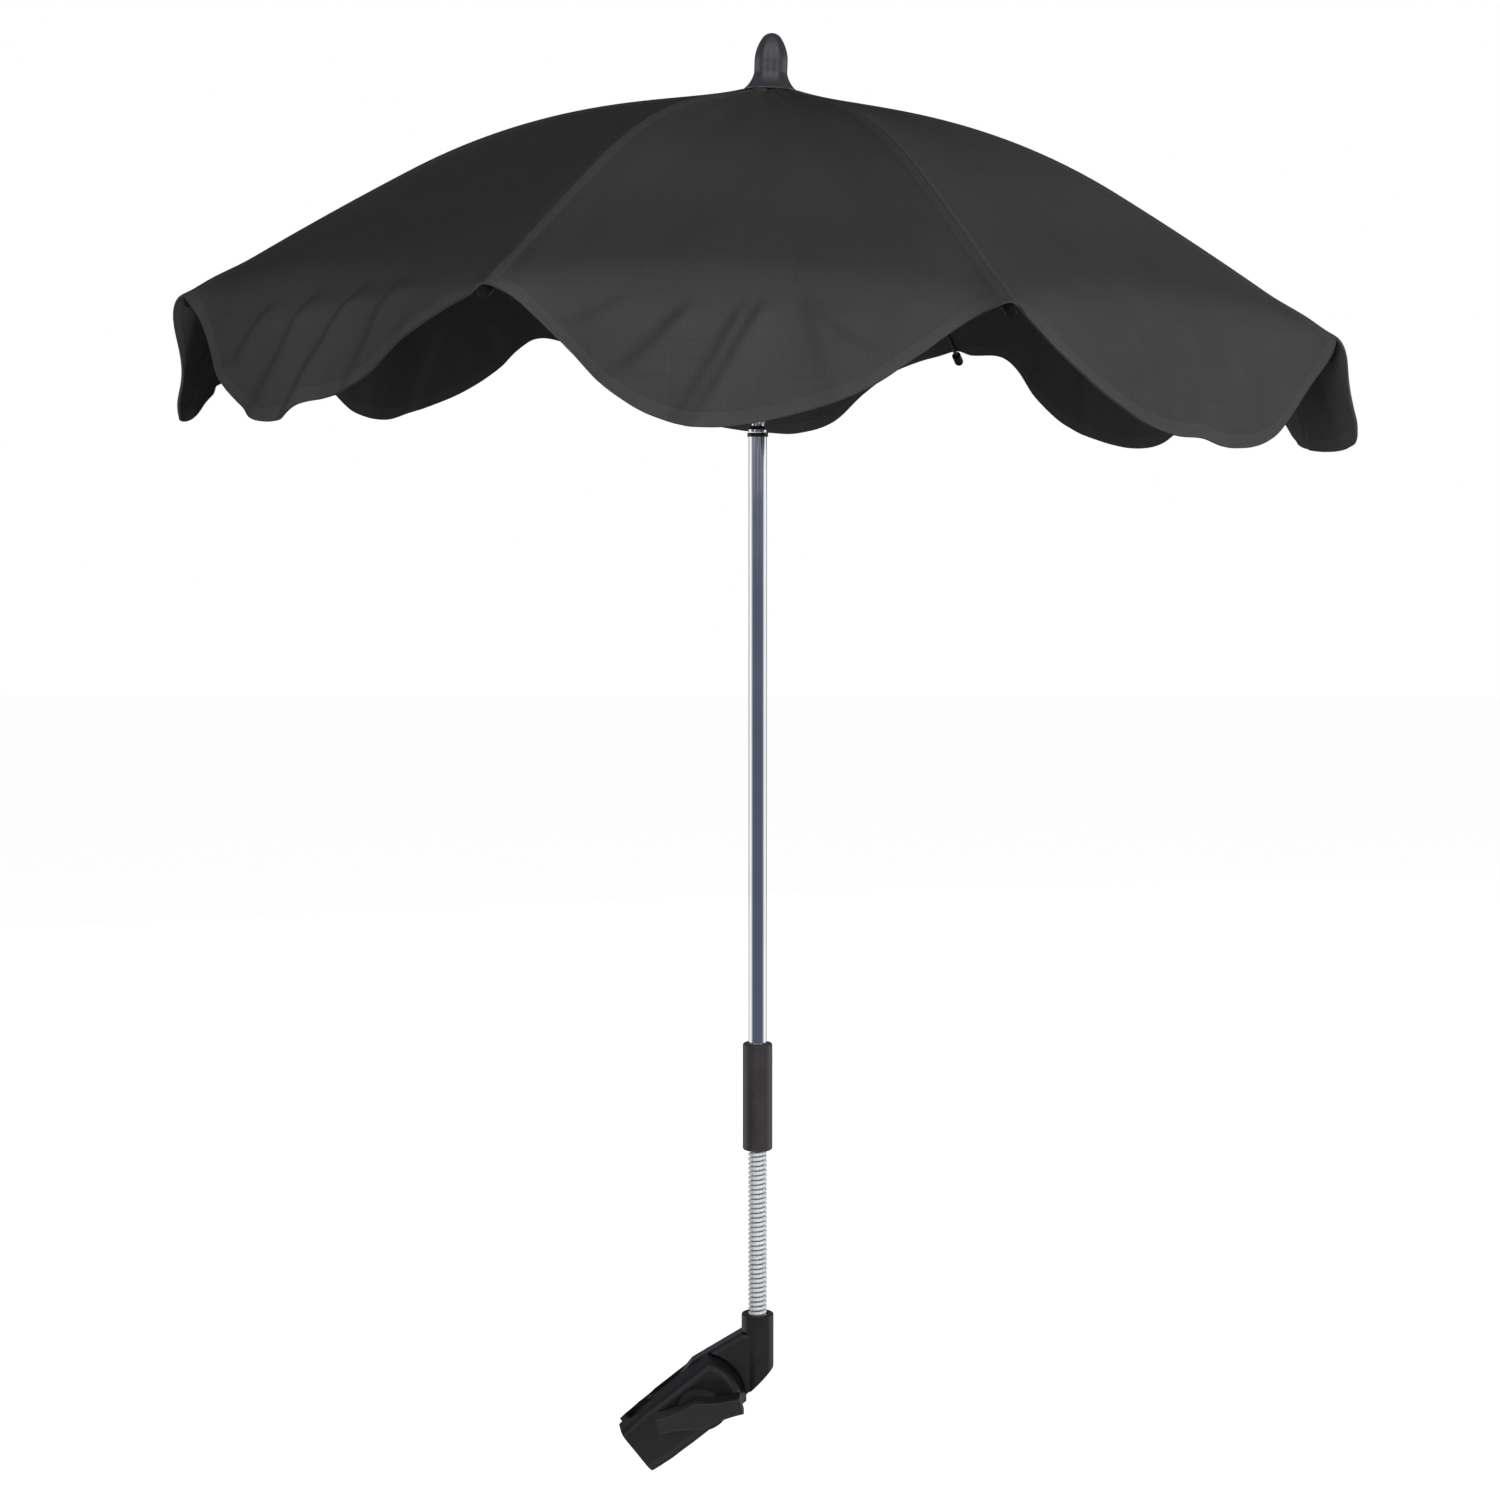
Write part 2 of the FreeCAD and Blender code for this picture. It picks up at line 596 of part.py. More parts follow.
def rib(index):
    """Hinge blade, bowed rod and the eye plate that carries the stretcher."""
    half = blade_thickness / 2
    blade_end = rib_root_radius + blade_height
    low_edge = pivot_height - blade_height / 2
    blade = box(pivot_radius, blade_end, -half, half, low_edge, low_edge + blade_height)
    nose = cylinder(2 * blade_nose, blade_thickness, V(pivot_radius, -half, pivot_height), ACROSS)
    low, middle, bend = rib_line(0), rib_line(rib_bow_length / 2), rib_line(rib_bow_length)
    run_middle = rib_line((rib_bow_length + rib_length) / 2)
    tip = (tip_radius, tip_height)
    points = [V(r, 0, z) for r, z in (low, middle, bend, run_middle, tip)]
    path = Part.Wire([Part.Arc(*points[:3]).toShape(), Part.Arc(*points[2:]).toShape()])
    section = Part.Wire(Part.makeCircle(rib_diameter / 2, points[0], V(1, 0, 0)))
    rod = path.makePipeShell([section], True, False)
    eye = cylinder(link_eye, blade_thickness, V(link_radius, -half, link_height), ACROSS)
    rib_over_eye = rib_line(rib_bow_radius * math.asin((link_radius - rib_root_radius) / rib_bow_radius))[1]
    plate_edge = link_radius - link_eye / 2
    plate = box(plate_edge, plate_edge + link_eye, -half, half, link_height, rib_over_eye)
    whole = rod.fuse(blade).fuse(nose).fuse(plate).fuse(eye)
    ring_hole = cylinder(ring_wire + 4 * running_clearance, 2 * blade_thickness,
                         V(pivot_radius, -blade_thickness, pivot_height), ACROSS)
    pin_hole = cylinder(link_pin + 2 * running_clearance, 2 * blade_thickness,
                        V(link_radius, -blade_thickness, link_height), ACROSS)
    return in_canopy(whole.cut(ring_hole).cut(pin_hole).removeSplitter(), rib_turn(index))


def rib_tip(index):
    """Round-ended cap pushed over the rib's tip."""
    slope = math.radians(rib_bow_angle + rib_run_angle)
    out = V(math.cos(slope), 0, -math.sin(slope))
    start = V(tip_radius, 0, tip_height) - out * tip_cap_grip
    barrel = tip_cap_length - tip_cap_diameter / 2
    cap = cylinder(tip_cap_diameter, barrel, start, out)
    cap = cap.fuse(Part.makeSphere(tip_cap_diameter / 2, start + out * barrel))
    hole = cylinder(rib_diameter + 2 * seat_clearance, tip_cap_grip + body_clearance, start, out)
    return in_canopy(cap.cut(hole).removeSplitter(), rib_turn(index))


def stretcher(index):
    """Flat link from the rib's eye plate in to the runner, forked round the eye plate."""
    half_blade, half_fork = blade_thickness / 2, fork_width / 2
    height = fork_height / 2
    inner = cylinder(fork_height, blade_thickness, V(link_length, -half_blade, 0), ACROSS)
    inner = inner.fuse(box(fork_length / 2, link_length, -half_blade, half_blade, -height, height))
    fork = cylinder(fork_height, fork_width, V(0, -half_fork, 0), ACROSS)
    fork = fork.fuse(box(0, fork_length, -half_fork, half_fork, -height, height))
    slot_end = fork_length - fork_width
    fork = fork.cut(box(-fork_length, slot_end, -fork_slot / 2, fork_slot / 2, -fork_length, fork_length))
    inner = inner.cut(box(-fork_length, slot_end, -half_fork, half_fork, -fork_length, fork_length))
    pin = cylinder(link_pin, fork_width, V(0, -half_fork, 0), ACROSS)
    link = inner.fuse(fork).fuse(pin)
    eye = cylinder(ring_wire + 2 * running_clearance, fork_width, V(link_length, -half_fork, 0), ACROSS)
    link = link.cut(eye).removeSplitter()
    inward = FreeCAD.Rotation(ACROSS, 90 + link_angle_open)
    link.Placement = FreeCAD.Placement(V(link_radius, 0, link_height), inward)
    return in_canopy(link, rib_turn(index))


def cloth_height(radius, rib_height):
    """Height of the cloth's middle: over the rib, and drawn up to the finial's foot near the shaft."""
    beyond_flare = max(0, radius - finial_flare_diameter / 2)
    return rib_height + cloth_lift + crown_rise * math.exp(-beyond_flare / crown_reach)


def gore(index):
    """One panel of the canopy, straight from rib to rib and bowed along them."""
    start = crown_hole_radius - rib_root_radius
    sections = []
    for share in gore_station_shares:
        radius, rib_height = rib_line(start + share * (cloth_end - start))
        x = radius * math.cos(half_pitch)
        side = radius * math.sin(half_pitch) - seam_gap / 2 / math.cos(half_pitch)
        z = cloth_height(radius, rib_height)
        low, high = z - cloth_thickness / 2, z + cloth_thickness / 2
        corners = [V(x, -side, low), V(x, side, low), V(x, side, high), V(x, -side, high)]
        sections.append(Part.makePolygon(corners + corners[:1]))
    return in_canopy(Part.makeLoft(sections, True, False), gore_turn(index))


def scallop(share):
    """Share of the full depth that the hem reaches: 1 in the middle, 0 at the tips."""
    tip_share = 1.35
    round_share = math.cos(share * math.pi / 2)
    drawn_share = (1 + math.cos(math.pi * abs(share) ** tip_share)) / 2
    return (round_share + drawn_share) / 2


def valance(index):
    """Scalloped edge that hangs in folds from a gore's outer edge."""
    x = cloth_edge_radius * math.cos(half_pitch)
    half_span = cloth_edge_radius * math.sin(half_pitch) - valance_end_gap
    top = cloth_edge_height - cloth_thickness / 2 - valance_gap
    sections = []
    for step in range(valance_stations):
        share = 2 * step / (valance_stations - 1) - 1
        hang = scallop(share)
        depth = valance_end_depth + (valance_depth - valance_end_depth) * hang
        wave = fold_height * hang * math.cos(fold_count * share * math.pi)
        foot = x + valance_flare * hang + wave
        half = cloth_thickness / 2
        y = share * half_span
        hem = top - depth
        corners = [V(x - half, y, top), V(x + half, y, top), V(foot + half, y, hem), V(foot - half, y, hem)]
        sections.append(Part.makePolygon(corners + corners[:1]))
    return in_canopy(Part.makeLoft(sections, True, False), gore_turn(index))


def build():
    parts = clamp_parts()
    parts["wing_nut"] = wing_nut()
    parts["elbow_arm"] = elbow_arm()
    parts.update(gooseneck_parts())
    parts.update(mast_parts())
    parts["canopy_shaft"] = canopy_shaft()
    parts["top_notch"] = top_notch()
    parts["notch_ring"] = in_canopy(Part.makeTorus(pivot_radius, ring_wire / 2, V(0, 0, pivot_height)))
    parts.update(runner_parts())
    parts["finial"] = finial()
    for index in range(1, rib_count + 1):
        parts[f"rib_{index}"] = rib(index)
        parts[f"rib_tip_{index}"] = rib_tip(index)
        parts[f"stretcher_{index}"] = stretcher(index)
        parts[f"gore_{index}"] = gore(index)
        parts[f"valance_{index}"] = valance(index)
    return parts


os.makedirs("parts", exist_ok=True)
for node, shape in build().items():
    shape.exportStep(f"parts/{node}.step")
print(f"gooseneck winding, least gap to itself: {coil_least_gap():.3f} mm")
print(f"fold {math.degrees(fold_angle):.2f} degrees, runner travel {runner_travel:.2f} mm")
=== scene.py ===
"""Pram parasol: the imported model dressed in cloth, chrome, wound steel and moulded plastic."""
import json
import math

import bpy
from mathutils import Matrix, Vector, noise


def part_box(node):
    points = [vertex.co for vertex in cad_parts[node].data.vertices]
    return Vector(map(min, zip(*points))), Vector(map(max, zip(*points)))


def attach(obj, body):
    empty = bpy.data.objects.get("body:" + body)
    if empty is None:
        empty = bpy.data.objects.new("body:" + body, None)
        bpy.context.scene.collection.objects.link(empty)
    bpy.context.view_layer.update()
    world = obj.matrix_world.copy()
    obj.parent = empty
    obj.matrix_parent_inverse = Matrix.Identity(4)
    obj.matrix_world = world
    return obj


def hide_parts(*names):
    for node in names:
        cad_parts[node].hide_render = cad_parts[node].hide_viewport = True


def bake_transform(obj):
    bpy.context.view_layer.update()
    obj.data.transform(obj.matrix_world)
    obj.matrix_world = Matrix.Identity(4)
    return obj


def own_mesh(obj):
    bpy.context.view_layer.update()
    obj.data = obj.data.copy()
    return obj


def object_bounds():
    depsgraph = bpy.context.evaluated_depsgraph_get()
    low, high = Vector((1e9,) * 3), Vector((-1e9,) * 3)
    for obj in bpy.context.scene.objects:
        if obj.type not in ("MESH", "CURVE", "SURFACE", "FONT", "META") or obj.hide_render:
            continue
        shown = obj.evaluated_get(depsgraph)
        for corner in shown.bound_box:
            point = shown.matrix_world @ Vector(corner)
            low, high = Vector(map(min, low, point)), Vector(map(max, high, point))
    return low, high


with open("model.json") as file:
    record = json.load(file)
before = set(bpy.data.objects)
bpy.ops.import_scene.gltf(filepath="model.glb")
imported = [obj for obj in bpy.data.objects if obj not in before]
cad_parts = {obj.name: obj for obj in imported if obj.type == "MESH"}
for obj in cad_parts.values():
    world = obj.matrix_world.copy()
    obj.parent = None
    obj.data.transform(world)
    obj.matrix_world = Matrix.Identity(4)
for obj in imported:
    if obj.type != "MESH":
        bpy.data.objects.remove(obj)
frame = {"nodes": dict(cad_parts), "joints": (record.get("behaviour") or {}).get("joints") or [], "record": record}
cad_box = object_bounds()
nodes = frame["nodes"]
joints = {joint["name"]: joint for joint in frame["joints"]}

# Canopy sizes, as in the part's source, in metres
GORES = 8
HALF_PITCH = math.pi / GORES
RIB_ROOT = 0.020
BOW_RADIUS = 0.390
BOW_TURN = math.radians(30)
RUN_RADIUS = 2.095
RUN_TURN = math.radians(4)
TIP_HOLD = 0.0063
CLOTH_LIFT = 0.0025
CLOTH_WALL = 0.0008
CROWN_HOLE = 0.007
CROWN_RISE = 0.0086
CROWN_REACH = 0.027
FLARE_RADIUS = 0.01525
BOW_LENGTH = BOW_RADIUS * BOW_TURN
CLOTH_END = BOW_LENGTH + RUN_RADIUS * RUN_TURN - TIP_HOLD
CLOTH_START = CROWN_HOLE - RIB_ROOT
VALANCE_DEPTH = 0.060
CREASE_HOLD = 0.65
CORNER_HANG = math.radians(28)
CORNER_LIFT = 0.0023
SEAM_LINE = 0.0044
HEM_LINE = 0.0066
EDGE_LINE = 0.0014
BAND_FADE = 0.0014

# How the cloth turns down at the crease: lengths in metres, and shares of half a gore's width
CORNER_WIDTH = 0.07
BEND_LENGTH = 0.036
BEND_POWER = 0.8
BEND_PAST_CREASE = 0.35
BEND_EXTRA = 0.010
SLOPE_STEP = 0.001
CREASE_REACH = -0.100
LIFT_REACH = (-0.035, -0.003)
HANG_SWAY = 5

# How the cloth sags, ripples and sways, in metres, and how far a doubled edge fades
SAG = 0.0048
RIPPLE = 0.0009
SWAY = 0.0030
FLUTTER = 0.0010
TUG = 0.0007
EDGE_FADE = (-0.0004, 0.0008)

# Columns across a gore, how much closer they stand near the seams, and rows down the gore, of which the
# first are its crown, and down its valance
COLUMNS = 140
SEAM_CROWDING = 0.25
GORE_ROWS = 70
CROWN_ROWS = 8
VALANCE_ROWS = 30

shaft_up = -Vector(joints["runner_slide"]["axis"]).normalized()
rib_hinges = [Vector(joints["canopy_fold"]["pos_m"])]
rib_hinges += [Vector(joints[f"rib_{k}_hinge"]["pos_m"]) for k in range(2, GORES + 1)]
crown = sum(rib_hinges, Vector()) / GORES

# Hem of each valance: place across the gore, -1 to 1, and share of the full depth
HEMS = {
    1: [(-1, 0.19), (-0.9, 0.18), (-0.75, 0.37), (-0.6, 0.66), (-0.42, 0.94), (-0.26, 1.03), (0.01, 0.96),
        (0.25, 0.79), (0.42, 0.51), (0.56, 0.17), (0.66, 0.05), (0.82, 0.04), (1, 0.05)],
    2: [(-1, 0.05), (-0.9, 0.06), (-0.78, 0.12), (-0.64, 0.26), (-0.5, 0.50), (-0.34, 0.84), (-0.15, 0.99),
        (0, 1.0), (0.15, 0.99), (0.34, 0.92), (0.5, 0.74), (0.64, 0.5), (0.78, 0.27), (0.9, 0.17), (1, 0.19)],
    3: [(-1, 0.19), (-0.8, 0.04), (-0.62, 0.04), (-0.5, 0.20), (-0.42, 0.38), (-0.25, 0.63), (-0.11, 0.78),
        (0.1, 0.94), (0.26, 1.03), (0.45, 0.97), (0.62, 0.72), (0.8, 0.36), (0.92, 0.18), (1, 0.19)],
    4: [(-1, 0.19), (-0.85, 0.2), (-0.7, 0.36), (-0.5, 0.55), (-0.3, 0.66), (0, 0.76), (0.3, 0.92),
        (0.5, 1.14), (0.62, 1.22), (0.75, 1.08), (0.86, 0.75), (0.95, 0.38), (1, 0.19)],
    5: [(-1, 0.19), (-0.92, 0.26), (-0.8, 0.6), (-0.66, 0.90), (-0.5, 1.08), (-0.36, 1.17), (-0.22, 1.15),
        (-0.1, 1.02), (0.04, 0.97), (0.15, 0.92), (0.3, 0.80), (0.48, 0.55), (0.64, 0.36), (0.8, 0.2),
        (0.92, 0.13), (1, 0.12)],
    6: [(-1, 0.12), (-0.9, 0.14), (-0.8, 0.30), (-0.655, 0.58), (-0.56, 0.77), (-0.45, 0.94), (-0.33, 1.07),
        (-0.18, 1.15), (0, 1.12), (0.2, 1.0), (0.36, 0.87), (0.5, 0.71), (0.62, 0.53), (0.78, 0.29),
        (0.9, 0.14), (1, 0.12)],
    7: [(-1, 0.12), (-0.9, 0.14), (-0.78, 0.28), (-0.62, 0.53), (-0.45, 0.75), (-0.25, 0.92), (0.0, 1.01),
        (0.18, 1.02), (0.3, 1.08), (0.45, 1.09), (0.58, 1.06), (0.7, 0.97), (0.82, 0.75), (0.92, 0.42),
        (1, 0.19)],
    8: [(-1, 0.19), (-0.93, 0.46), (-0.85, 0.78), (-0.7, 1.05), (-0.5, 1.12), (-0.3, 1.12), (-0.1, 1.08),
        (0.15, 1.0), (0.4, 0.8), (0.6, 0.55), (0.8, 0.28), (0.92, 0.17), (1, 0.19)],
}

# How steeply a valance hangs at its two ends, in degrees below the level; the two at the sides flare out
HANG = (80, 80)
HANGS = {4: (74, 74), 8: (55, 88)}

# Folds of each valance: place at the crease, place at the hem and width across the gore, and height in
# metres. They start a share of the way down from where the cloth begins to turn.
CREASE_SHARE = 0.34
FOLD_RISE = (-0.70, 0.45)
FOLD_FADE = 1.5
FOLD_SPREAD = (0.7, 0.4)
FOLD_START = 0.25
FOLD_EASE = 0.5
FOLDS = {
    6: [(-0.19, -0.55, 0.085, 0.0050), (0.01, -0.245, 0.060, 0.0040), (0.085, -0.185, 0.060, 0.0048),
        (0.18, 0.70, 0.100, 0.0034), (0.22, 0.34, 0.070, 0.0020), (-0.45, -0.80, 0.085, 0.0026)],
    5: [(0.20, -0.18, 0.110, 0.0095), (-0.12, -0.44, 0.150, 0.0095), (-0.40, -0.75, 0.130, 0.0080),
        (0.45, 0.18, 0.120, 0.0050)],
    7: [(-0.3, -0.05, 0.10, 0.0016), (0.1, 0.32, 0.10, 0.0020), (0.35, 0.60, 0.09, 0.0022)],
    4: [(-0.1, -0.45, 0.09, 0.0040), (0.2, 0.1, 0.10, 0.0044), (0.45, 0.6, 0.08, 0.0036)],
    8: [(-0.5, -0.5, 0.09, 0.0040), (-0.1, -0.1, 0.09, 0.0050), (0.4, 0.5, 0.08, 0.0036)],
    1: [(-0.15, -0.4, 0.09, 0.0036), (0.15, 0.2, 0.10, 0.0040), (0.4, 0.5, 0.08, 0.0030)],
    2: [(-0.25, -0.5, 0.09, 0.0030), (0.05, -0.02, 0.08, 0.0030), (0.3, 0.5, 0.09, 0.0030)],
    3: [(-0.3, -0.45, 0.08, 0.0030), (0.0, 0.1, 0.10, 0.0036), (0.35, 0.45, 0.08, 0.0030)],
}


def smooth(low, high, value):
    """0 below low, 1 above high, and an even ease between them."""
    share = min(1.0, max(0.0, (value - low) / (high - low)))
    return share * share * (3 - 2 * share)


def along(table, place):
    """Smooth line through a table of places and values."""
    last = len(table) - 1
    i = 0
    while i < last - 1 and place > table[i + 1][0]:
        i += 1
    (x0, y0), (x1, y1) = table[i], table[i + 1]
    before, after = table[max(i - 1, 0)], table[min(i + 2, last)]
    span = x1 - x0
    slope_0 = (y1 - before[1]) / (x1 - before[0]) * span
    slope_1 = (after[1] - y0) / (after[0] - x0) * span
    t = (place - x0) / span
    return (y0 * (1 + 2 * t) * (1 - t) ** 2 + slope_0 * t * (1 - t) ** 2
            + y1 * t * t * (3 - 2 * t) + slope_1 * t * t * (t - 1))


def rib_line(length):
    """Distance out from the shaft and height above the rib hinges, at a length along a rib."""
    bow = min(length, BOW_LENGTH) / BOW_RADIUS
    out = RIB_ROOT + BOW_RADIUS * math.sin(bow)
    height = -BOW_RADIUS * (1 - math.cos(bow))
    if length > BOW_LENGTH:
        run = bow + (length - BOW_LENGTH) / RUN_RADIUS
        out += RUN_RADIUS * (math.sin(run) - math.sin(bow))
        height += RUN_RADIUS * (math.cos(run) - math.cos(bow))
    return out, height


def cloth_line(length):
    """The rib's line lifted to the middle of the cloth, which rises to the finial."""
    out, height = rib_line(length)
    return out, height + CLOTH_LIFT + CROWN_RISE * math.exp(-max(0.0, out - FLARE_RADIUS) / CROWN_REACH)


def fold_height(number, across, down):
    """How far the folds of a valance stand out: each rises fast on one side and dies away on the other."""
    share = max(0.0, (down - CREASE_SHARE) / (1 - CREASE_SHARE))
    height = 0.0
    for top, foot, width, rise in FOLDS[number]:
        spread = width * (FOLD_SPREAD[0] + FOLD_SPREAD[1] * share)
        from_line = (across - top - (foot - top) * share) / spread
        height += rise * smooth(*FOLD_RISE, from_line) * math.exp(-max(0.0, from_line) / FOLD_FADE)
    return height * smooth(0.0, FOLD_START, share) * (1 - FOLD_EASE * share)


def cloth_column(number, across):
    """Points down one line of a gore and its valance, their lengths, the hem's depth and the bend."""
    width = math.hypot(math.cos(HALF_PITCH), across * math.sin(HALF_PITCH))
    slack = 1 - across * across
    corner = math.exp(-((1 - abs(across)) / CORNER_WIDTH) ** 2)
    depth = VALANCE_DEPTH * along(HEMS[number], across)
    bend = BEND_LENGTH * slack ** BEND_POWER
    near_hang, far_hang = HANGS.get(number, HANG)
    hang = near_hang + (far_hang - near_hang) * (across + 1) / 2
    hang = math.radians(hang + HANG_SWAY * math.sin(2.3 * across + 1.9 * number))
    hang += (CORNER_HANG - hang) * corner
    step = (CLOTH_END - CLOTH_START) / GORE_ROWS
    lengths = [CLOTH_START + row * step for row in range(GORE_ROWS + 1)]
    lengths += [CLOTH_END + depth * row / VALANCE_ROWS for row in range(1, VALANCE_ROWS + 1)]
    points = []
    slope = 0.0
    for row, length in enumerate(lengths):
        if length <= CLOTH_END - bend:
            out, height = cloth_line(length)
            ahead = cloth_line(length + SLOPE_STEP)
            slope = math.atan2(height - ahead[1], (ahead[0] - out) * width)
            points.append([out * width, height, slope])
        else:
            travel = length - lengths[row - 1]
            turn = smooth(-bend, BEND_PAST_CREASE * bend + BEND_EXTRA, length - CLOTH_END)
            now = slope + (hang - slope) * turn
            out, height, _ = points[-1]
            points.append([out + travel * math.cos(now), height - travel * math.sin(now), now])
    # the crease keeps near the line between the rib ends, and the corners ride up over the rib tips
    end_out, end_height = cloth_line(CLOTH_END)
    crease = points[GORE_ROWS]
    back_out = CREASE_HOLD * (end_out * width - crease[0])
    back_height = CREASE_HOLD * (end_height - crease[1])
    for point, length in zip(points, lengths):
        past_crease = length - CLOTH_END
        near = smooth(CREASE_REACH, 0.0, past_crease)
        point[0] += back_out * near
        point[1] += back_height * near + CORNER_LIFT * corner * smooth(*LIFT_REACH, past_crease)
    return points, lengths, depth, bend


def cloth_grid(number):
    """Places and measures of a whole gore with its valance, row by row down each column, and its sideways."""
    out_way = Vector(joints[f"gore_{number}_hinge"]["pos_m"]) - crown
    out_way = (out_way - shaft_up * out_way.dot(shaft_up)).normalized()
    side_way = shaft_up.cross(out_way)
    grid = []
    hem_run = 0.0
    for column in range(COLUMNS + 1):
        share = 2 * column / COLUMNS - 1
        across = (1 - SEAM_CROWDING) * share + SEAM_CROWDING * math.sin(share * math.pi / 2)
        points, lengths, depth, bend = cloth_column(number, across)
        way = (out_way * math.cos(HALF_PITCH) + side_way * across * math.sin(HALF_PITCH)).normalized()
        slack = 1 - across * across
        rows = []
        for (out, height, slope), length in zip(points, lengths):
            down_gore = (length - CLOTH_START) / (CLOTH_END - CLOTH_START)
            seam = (1 - abs(across)) * out * math.tan(HALF_PITCH)
            hem = CLOTH_END + depth - length
            normal = way * math.sin(slope) + shaft_up * math.cos(slope)
            sag = SAG * slack * math.sin(math.pi * min(1.0, down_gore) ** 0.9)
            ripple = RIPPLE * noise.noise(Vector((across * 3.1, length * 14, number * 7.3)))
            ripple *= smooth(0, 0.25, slack)
            down = (length - CLOTH_END + bend) / (depth + bend + 1e-6)
            pull = 0.0
            if down > 0:
                free = smooth(0.0, 0.4, slack)
                pull = fold_height(number, across, min(1.0, down)) * free
                sway = math.sin(3.7 * across + 2.1 * number) + 0.6 * math.sin(7.9 * across + 0.7 * number)
                pull += SWAY * sway * down ** 1.6 * free
                pull += FLUTTER * noise.noise(Vector((across * 9, down * 4, number * 3.7))) * down * free
            tug = TUG * math.sin(26 * across) * smooth(0.72, 0.97, down_gore)
            tug *= smooth(0.45, 0.95, abs(across))
            tug *= slack * (1 - smooth(0, 0.5, down))
            place = crown + way * out + shaft_up * height
            place += normal * (ripple - sag + tug) + way * pull
            doubled = max(1 - smooth(SEAM_LINE + EDGE_FADE[0], SEAM_LINE + EDGE_FADE[1], seam),
                          1 - smooth(HEM_LINE + EDGE_FADE[0], HEM_LINE + EDGE_FADE[1], hem))
            rows.append({
                "place": place,
                "lay": (across * out * math.tan(HALF_PITCH), length),
                "seam": seam,
                "hem": hem,
                "down": length,
                "wall": CLOTH_WALL * (0.5 + 0.45 * doubled),
            })
        if grid:
            hem_run += (rows[-1]["place"] - grid[-1][-1]["place"]).length
        for row in rows:
            row["run"] = hem_run
        grid.append(rows)
    for column, rows in enumerate(grid):
        left, right = grid[max(column - 1, 0)], grid[min(column + 1, COLUMNS)]
        for i, row in enumerate(rows):
            down_way = rows[min(i + 1, len(rows) - 1)]["place"] - rows[max(i - 1, 0)]["place"]
            row["normal"] = down_way.cross(right[i]["place"] - left[i]["place"]).normalized()
    return grid, side_way


def cloth_piece(name, grid, first, last):
    """A sheet with two faces and closed edges, from some rows of the grid."""
    count = last - first + 1
    spots = [row for rows in grid for row in rows[first:last + 1]]
    under = len(spots)
    places = [spot["place"] + spot["normal"] * spot["wall"] for spot in spots]
    places += [spot["place"] - spot["normal"] * spot["wall"] for spot in spots]
    upper = []
    area = 0.0
    for column in range(len(grid) - 1):
        for row in range(count - 1):
            here = column * count + row
            upper.append((here, here + 1, here + count + 1, here + count))
            area += (spots[here + 1]["place"] - spots[here]["place"]).cross(
                spots[here + count]["place"] - spots[here]["place"]).length
    lower = [tuple(under + i for i in reversed(face)) for face in upper]
    end = under - count
    rim = [*range(0, count), *range(2 * count - 1, under, count)]
    rim += [*range(under - 2, end - 1, -1), *range(end - count, 0, -count)]
    edges = [(b, a, under + a, under + b) for a, b in zip(rim, rim[1:] + rim[:1])]
    mesh = bpy.data.meshes.new(name)
    mesh.from_pydata(places, [], upper + lower + edges)
    lay = mesh.uv_layers.new(name="lay")
    for loop in mesh.loops:
        lay.data[loop.index].uv = spots[loop.vertex_index % under]["lay"]
    for title in ("seam", "hem", "run", "down"):
        layer = mesh.attributes.new(title, "FLOAT", "POINT")
        layer.data.foreach_set("value", [spot[title] for spot in spots] * 2)
    normals = []
    for polygon in mesh.polygons:
        polygon.use_smooth = True
        for i in polygon.vertices:
            if polygon.index < len(upper):
                normals.append(spots[i]["normal"])
            elif polygon.index < 2 * len(upper):
                normals.append(-spots[i - under]["normal"])
            else:
                normals.append(polygon.normal.copy())
    mesh.normals_split_custom_set(normals)
    piece = bpy.data.objects.new(name, mesh)
    bpy.context.collection.objects.link(piece)
    return piece, area


cloth_pieces = []
for number in range(1, GORES + 1):
    grid, side_way = cloth_grid(number)
    chord = 2 * cloth_line(CLOTH_END)[0] * math.sin(HALF_PITCH)
    top, top_area = cloth_piece(f"cloth_crown_{number}", grid, 0, CROWN_ROWS)
    gore, gore_area = cloth_piece(f"cloth_gore_{number}", grid, CROWN_ROWS, GORE_ROWS)
    valance, valance_area = cloth_piece(f"cloth_valance_{number}", grid, GORE_ROWS, GORE_ROWS + VALANCE_ROWS)
    for piece, body in ((gore, f"gore_{number}"), (valance, f"valance_{number}")):
        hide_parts(body)
        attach(piece, body)
        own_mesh(piece)
        cloth_pieces.append(piece)
    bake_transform(top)
    cloth_pieces.append(top)


# Gooseneck: a wound wire and its core, in the two lengths that bend, in metres
WIRE = 0.00225
COIL_RING = 0.004575
NECK_PITCH = 0.00289
WIRE_SIDES = 12
HALF_TURN_STEPS = 14
CORE_SIDES = 32
CORE_RINGS = 24
LENGTHWISE = 0.001


def tidy_selection():
    if bpy.context.object and bpy.context.object.mode != "OBJECT":
        bpy.ops.object.mode_set(mode="OBJECT")
    bpy.ops.object.select_all(action="DESELECT")


